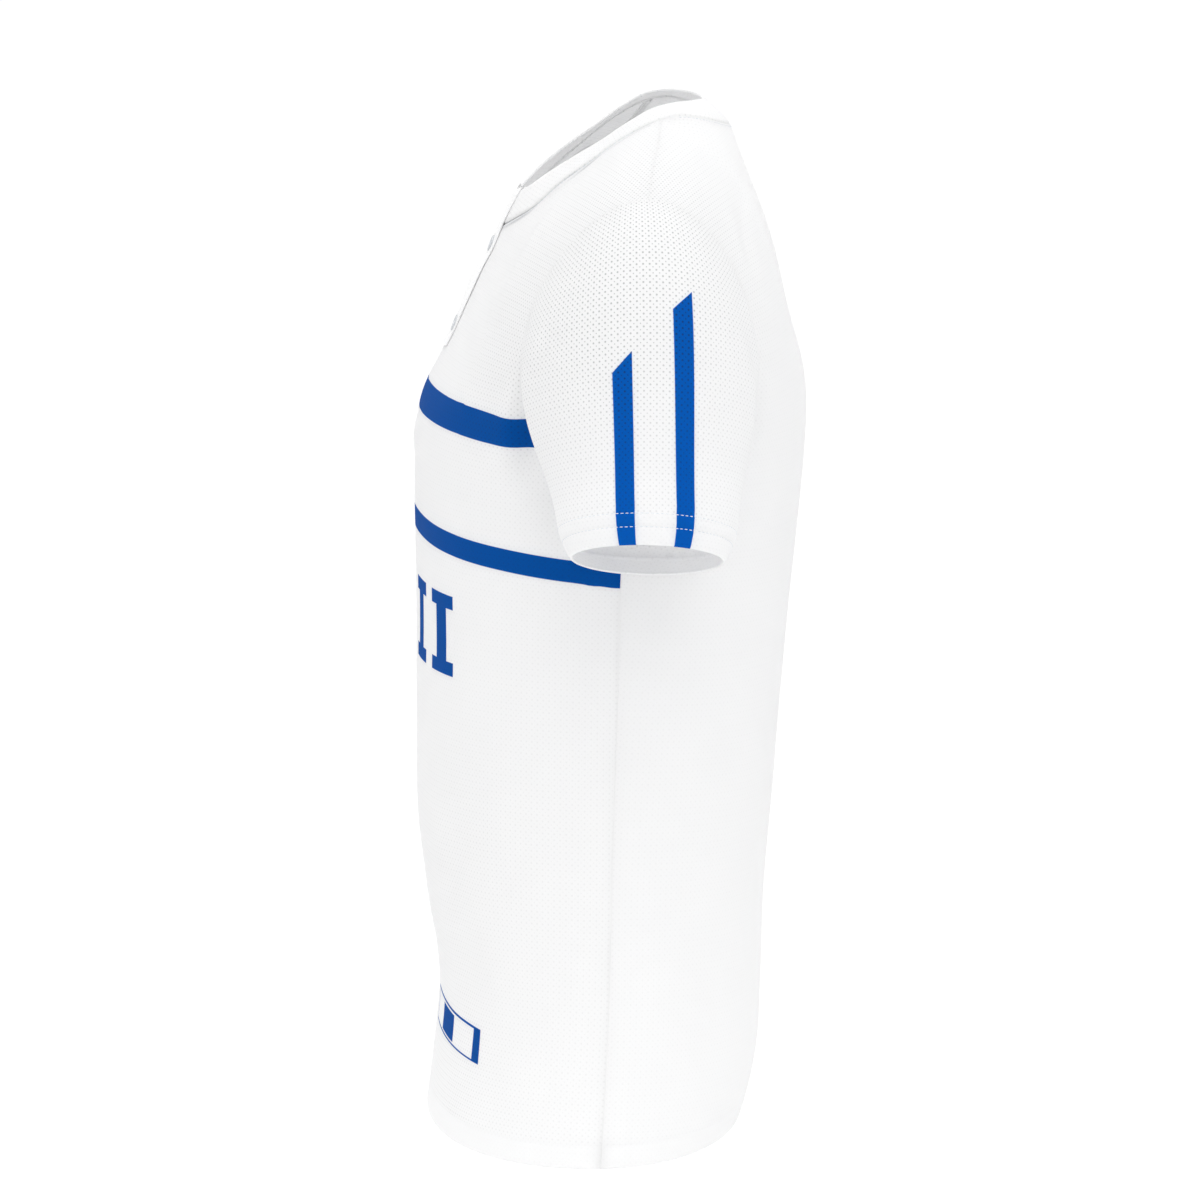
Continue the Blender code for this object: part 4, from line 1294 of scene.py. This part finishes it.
strips = [
    seam_strip("side_left", below_arm(front_rims["last"]), [below_arm(back_rims["first"])]),
    seam_strip("side_right", below_arm(front_rims["first"]), [below_arm(back_rims["last"])]),
    seam_strip("shoulder_left", shoulder(front_rims, 1), [shoulder(back_rims, 1)]),
    seam_strip("shoulder_right", shoulder(front_rims, -1), [shoulder(back_rims, -1)]),
    seam_strip("armhole_left", left_rim, [front_rims["last"], back_rims["first"]]),
    seam_strip("armhole_right", right_rim, [front_rims["first"], back_rims["last"]]),
    seam_strip("neck", band_rim, [neck_part(front_rims), neck_part(back_rims)]),
]
for strip in strips:
    only(strip)
    tidy_normals(merge=WELD)
    bpy.ops.object.modifier_add(type="SOLIDIFY")
    strip.modifiers[-1].thickness, strip.modifiers[-1].offset = STRIP_THICK, 0
    bpy.ops.object.modifier_apply(modifier=strip.modifiers[-1].name)
only(strips[0])
for strip in strips:
    strip.select_set(True)
bpy.ops.object.join()
allowances = bpy.context.object
allowances.name = allowances.data.name = "seam_allowances"
bpy.ops.object.shade_smooth()
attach(allowances, "root")


def overlocked():
    """Raw edges of the same knit under looped thread: white, and thin enough to glow."""
    made, tree, skin = new_material("overlocked_knit_white")
    place = add(tree, "TexCoord").outputs["Object"]
    # loops about 2.5 mm apart
    looped = {"Vector": place, "Scale": math.pi / 10 / 0.0025, "Distortion": 2.0}
    loops = add(tree, "TexWave", looped, bands_direction="Z").outputs["Fac"]
    tone = {"Factor": loops, 6: linear("F9F9F9"), 7: linear("FFFFFF")}
    colour = add(tree, "Mix", tone, data_type="RGBA").outputs[2]
    bump = add(tree, "Bump", {"Strength": 0.5, "Distance": 0.0002, "Height": loops})
    fill(skin, {"Base Color": colour, "Normal": bump, "Roughness": 0.85})
    let_through(tree, skin, colour, 0.98)
    return made


allowances.data.materials.append(overlocked())
print("seam allowances:", len(allowances.data.polygons), "faces")

# %% Shade the ditch of the neck seam
DITCH_REACH, STITCH_REACH = 0.0006, 0.0004           # how wide each dark line is
DITCH_DARK = 0.55
LEAST_SHADE, SHADE_FROM_Y, SHADE_OVER = 0.12, 0.02, 0.06   # it fades towards the back


def shade_seam(sheet, line, second):
    """Darkens a line along a seam, and a fainter one beside it where it is stitched."""
    tree = KDTree(len(line))
    for number, point in enumerate(line):
        tree.insert(point, number)
    tree.balance()
    away = np.array([tree.find(v.co)[2] for v in sheet.data.vertices])
    ahead = np.array([v.co.y for v in sheet.data.vertices])
    value = DITCH_DARK * dip(away, DITCH_REACH)
    value += second * dip(away - NECK_STITCHES, STITCH_REACH)
    value *= LEAST_SHADE + (1 - LEAST_SHADE) * ease((SHADE_FROM_Y - ahead) / SHADE_OVER)
    sheet.data.attributes["seam_shade"].data.foreach_set("value", value)


neck_line = evenly(band[0], band_out[0], 0.0003)[0]
for sheet, second in ((front_cloth, 0.35), (back_cloth, 0.2), (band_cloth, 0.0)):
    shade_seam(sheet, neck_line, second)
print("neck seam:", len(neck_line), "points")

# %% [markdown]
# ## Buttons
# The two buttons are pressed polyester resin, about 11 mm across, with a raised rim and
# four holes, and a cross of thread holds each one. A button is turned and drilled like
# the real one: a disc, its face sunk inside a rim, its edges rounded, four holes cut, and
# then it is moved to its place on the placket.

# %% Press one button
BUTTON_RADIUS, BUTTON_THICK, BUTTON_RIM = 0.0055, 0.0016, 0.0010
BUTTON_SINK, BUTTON_SLOPE, BUTTON_ROUND = 0.00045, 0.0004, 0.00028
HOLE_RADIUS, HOLE_APART = 0.00062, 0.0021
SHANK_SINK = 0.0003                   # how far a button is pressed into the strip


def press_button(name):
    bpy.ops.object.select_all(action="DESELECT")
    bpy.ops.mesh.primitive_cylinder_add(vertices=64, radius=BUTTON_RADIUS, depth=BUTTON_THICK)
    disc = bpy.context.object
    disc.name = disc.data.name = name
    bpy.ops.object.mode_set(mode="EDIT")
    bpy.ops.mesh.select_all(action="DESELECT")
    bpy.ops.object.mode_set(mode="OBJECT")
    for face in disc.data.polygons:
        face.select = face.normal.z > 0.9
    bpy.ops.object.mode_set(mode="EDIT")
    bpy.ops.mesh.select_mode(type="FACE")
    bpy.ops.mesh.inset(thickness=BUTTON_RIM, depth=0)
    bpy.ops.mesh.inset(thickness=BUTTON_SLOPE, depth=-BUTTON_SINK)
    bpy.ops.object.mode_set(mode="OBJECT")
    bpy.ops.object.modifier_add(type="BEVEL")
    bevel = disc.modifiers[-1]
    bevel.width, bevel.segments, bevel.angle_limit = BUTTON_ROUND, 3, math.radians(35)
    bpy.ops.object.modifier_apply(modifier=bevel.name)
    for x, y in ((-1, -1), (-1, 1), (1, -1), (1, 1)):
        place = (x * HOLE_APART / 2, y * HOLE_APART / 2, 0)
        bpy.ops.object.select_all(action="DESELECT")
        bpy.ops.mesh.primitive_cylinder_add(
            vertices=16, radius=HOLE_RADIUS, depth=0.01, location=place
        )
        drill = bpy.context.object
        only(disc)
        bpy.ops.object.modifier_add(type="BOOLEAN")
        disc.modifiers[-1].object = drill
        bpy.ops.object.modifier_apply(modifier=disc.modifiers[-1].name)
        bpy.data.objects.remove(drill)
    only(disc)
    bpy.ops.object.shade_smooth_by_angle(angle=math.radians(40))
    return disc


def button_thread(name):
    """A cross of thread through the four holes."""
    arms = []
    for turn in (45, 135):
        bpy.ops.object.select_all(action="DESELECT")
        bpy.ops.mesh.primitive_uv_sphere_add(segments=10, ring_count=8, radius=0.5)
        bpy.ops.transform.resize(value=(HOLE_APART * 1.9, 0.0007, 0.0010))
        bpy.ops.object.transform_apply(location=False, rotation=False, scale=True)
        turned = math.radians(turn)
        bpy.ops.transform.rotate(value=turned, orient_axis="Z", center_override=(0, 0, 0))
        bpy.ops.transform.translate(value=(0, 0, BUTTON_THICK / 2 - BUTTON_SINK))
        bpy.ops.object.transform_apply(location=True, rotation=True, scale=False)
        arms.append(bpy.context.object)
    only(arms[0])
    arms[1].select_set(True)
    bpy.ops.object.join()
    cross = bpy.context.object
    cross.name = cross.data.name = name
    bpy.ops.object.shade_smooth()
    return cross


def resin():
    """Pressed polyester resin under a gloss, with soft, cloudy streaks; its pearly white is painted
    down to grey as painted shade.
    """
    made, tree, skin = new_material("pressed_resin_shaded_grey")
    place = add(tree, "TexCoord").outputs["Object"]
    streaks = {"Vector": place, "Scale": 260.0, "Detail": 3.0, "Distortion": 1.5}
    cloud = add(tree, "TexNoise", streaks)
    # the resin is painted grey rather than its own white: painted shade for the shadow at its rim,
    # with cloudy streaks through it
    tone = {"Factor": cloud, 6: linear("AFB3B9"), 7: linear("D9DADB")}
    fill(skin, {
        "Base Color": add(tree, "Mix", tone, data_type="RGBA").outputs[2],
        "Roughness": add(tree, "MapRange", {"Value": cloud, "To Min": 0.22, "To Max": 0.38}),
        "Normal": add(tree, "Bump", {"Strength": 0.1, "Distance": 0.0001, "Height": cloud}),
        "IOR": 1.55, "Subsurface Weight": 0.15, "Subsurface Radius": (0.001, 0.001, 0.001),
    })
    return made


# %% Sew the buttons on
button_resin = resin()
middle = top_strip.shape[1] // 2
for number, height in enumerate(BUTTON_HEIGHTS, 1):
    line = np.concatenate([top_strip[:, middle], top_out[:, middle]], 1)
    line = line[np.argsort(line[:, 2])]
    read = [float(np.interp(height, line[:, 2], line[:, k])) for k in range(6)]
    spot, face = Vector(read[:3]), Vector(read[3:])
    disc, cross = press_button(f"button_{number}_resin"), button_thread(f"button_{number}_thread")
    for piece, slot in ((disc, button_resin), (cross, thread_white)):
        piece.location = spot + face.normalized() * (BUTTON_THICK / 2 - SHANK_SINK)
        piece.rotation_euler = face.to_track_quat("Z", "Y").to_euler()
        only(piece)
        bpy.ops.object.transform_apply(location=True, rotation=True, scale=False)
        piece.data.materials.append(slot)
        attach(piece, "root")
    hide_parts(f"button_{number}")
    print(disc.name, "at", [round(x, 4) for x in spot], len(disc.data.polygons), "faces")

# %% [markdown]
# ## Studio and camera
# The picture was made with soft light from all round on white, so a white world does most
# of the work, and four soft lamps only give the cloth its gentle shading.

# %% The camera at the photo's angle
AIM = Vector((0.0, -0.03, -0.3330))
CAMERA_UP, CAMERA_FORWARD = math.radians(8.6), math.radians(2.8)
CAMERA_DISTANCE, PIXELS_PER_METRE, FRAME_PIXELS, SENSOR = 6.2, 1500, 1200, 36
camera = bpy.data.objects.new("camera", bpy.data.cameras.new("camera"))
bpy.context.scene.collection.objects.link(camera)
towards = Vector((
    math.cos(CAMERA_UP) * math.cos(CAMERA_FORWARD),
    -math.cos(CAMERA_UP) * math.sin(CAMERA_FORWARD),
    math.sin(CAMERA_UP),
))
camera.location = AIM + towards * CAMERA_DISTANCE
camera.rotation_euler = towards.to_track_quat("Z", "Y").to_euler()
camera.data.sensor_width = SENSOR
camera.data.lens = SENSOR * CAMERA_DISTANCE * PIXELS_PER_METRE / FRAME_PIXELS
bpy.context.scene.camera = camera
print("lens:", camera.data.lens, "mm")

# %% The floor and the light
def studio_paper():
    """Matte white background paper, with a faint mottle."""
    made, tree, skin = new_material("background_paper")
    place = add(tree, "TexCoord").outputs["Object"]
    mottle = add(tree, "TexNoise", {"Vector": place, "Scale": 3.0})
    tone = {"Factor": mottle, 6: linear("FDFDFD"), 7: linear("FFFFFF")}
    colour = add(tree, "Mix", tone, data_type="RGBA").outputs[2]
    fill(skin, {"Base Color": colour, "Roughness": 1.0, "Specular IOR Level": 0.0})
    return made


FLOOR_SIZE, FLOOR_Z, WORLD_STRENGTH = 60, -0.86, 1.05
bpy.ops.mesh.primitive_plane_add(size=FLOOR_SIZE, location=(0, 0, FLOOR_Z))
floor = bpy.context.object
floor.name = "floor"
floor.data.materials.append(studio_paper())
world = bpy.data.worlds.new("studio")
bpy.context.scene.world = world
world.use_nodes = True
fill(world.node_tree.nodes["Background"], {"Color": (1, 1, 1, 1), "Strength": WORLD_STRENGTH})
Lamp = namedtuple("Lamp", "name place size power")
for lamp in (
    Lamp("key", (2.6, 1.0, 2.6), 2.2, 20),
    Lamp("front_fill", (1.2, -2.8, 1.0), 2.0, 1.5),
    Lamp("top", (0.2, -0.2, 2.6), 2.4, 18),
    Lamp("low_side", (3.0, -0.3, -0.45), 0.8, 1),
):
    made = bpy.data.objects.new(lamp.name, bpy.data.lights.new(lamp.name, "AREA"))
    bpy.context.scene.collection.objects.link(made)
    made.data.size, made.data.energy = lamp.size, lamp.power
    made.location = lamp.place
    made.rotation_euler = (Vector(lamp.place) - AIM).to_track_quat("Z", "Y").to_euler()
bpy.context.scene.view_settings.view_transform = "Standard"
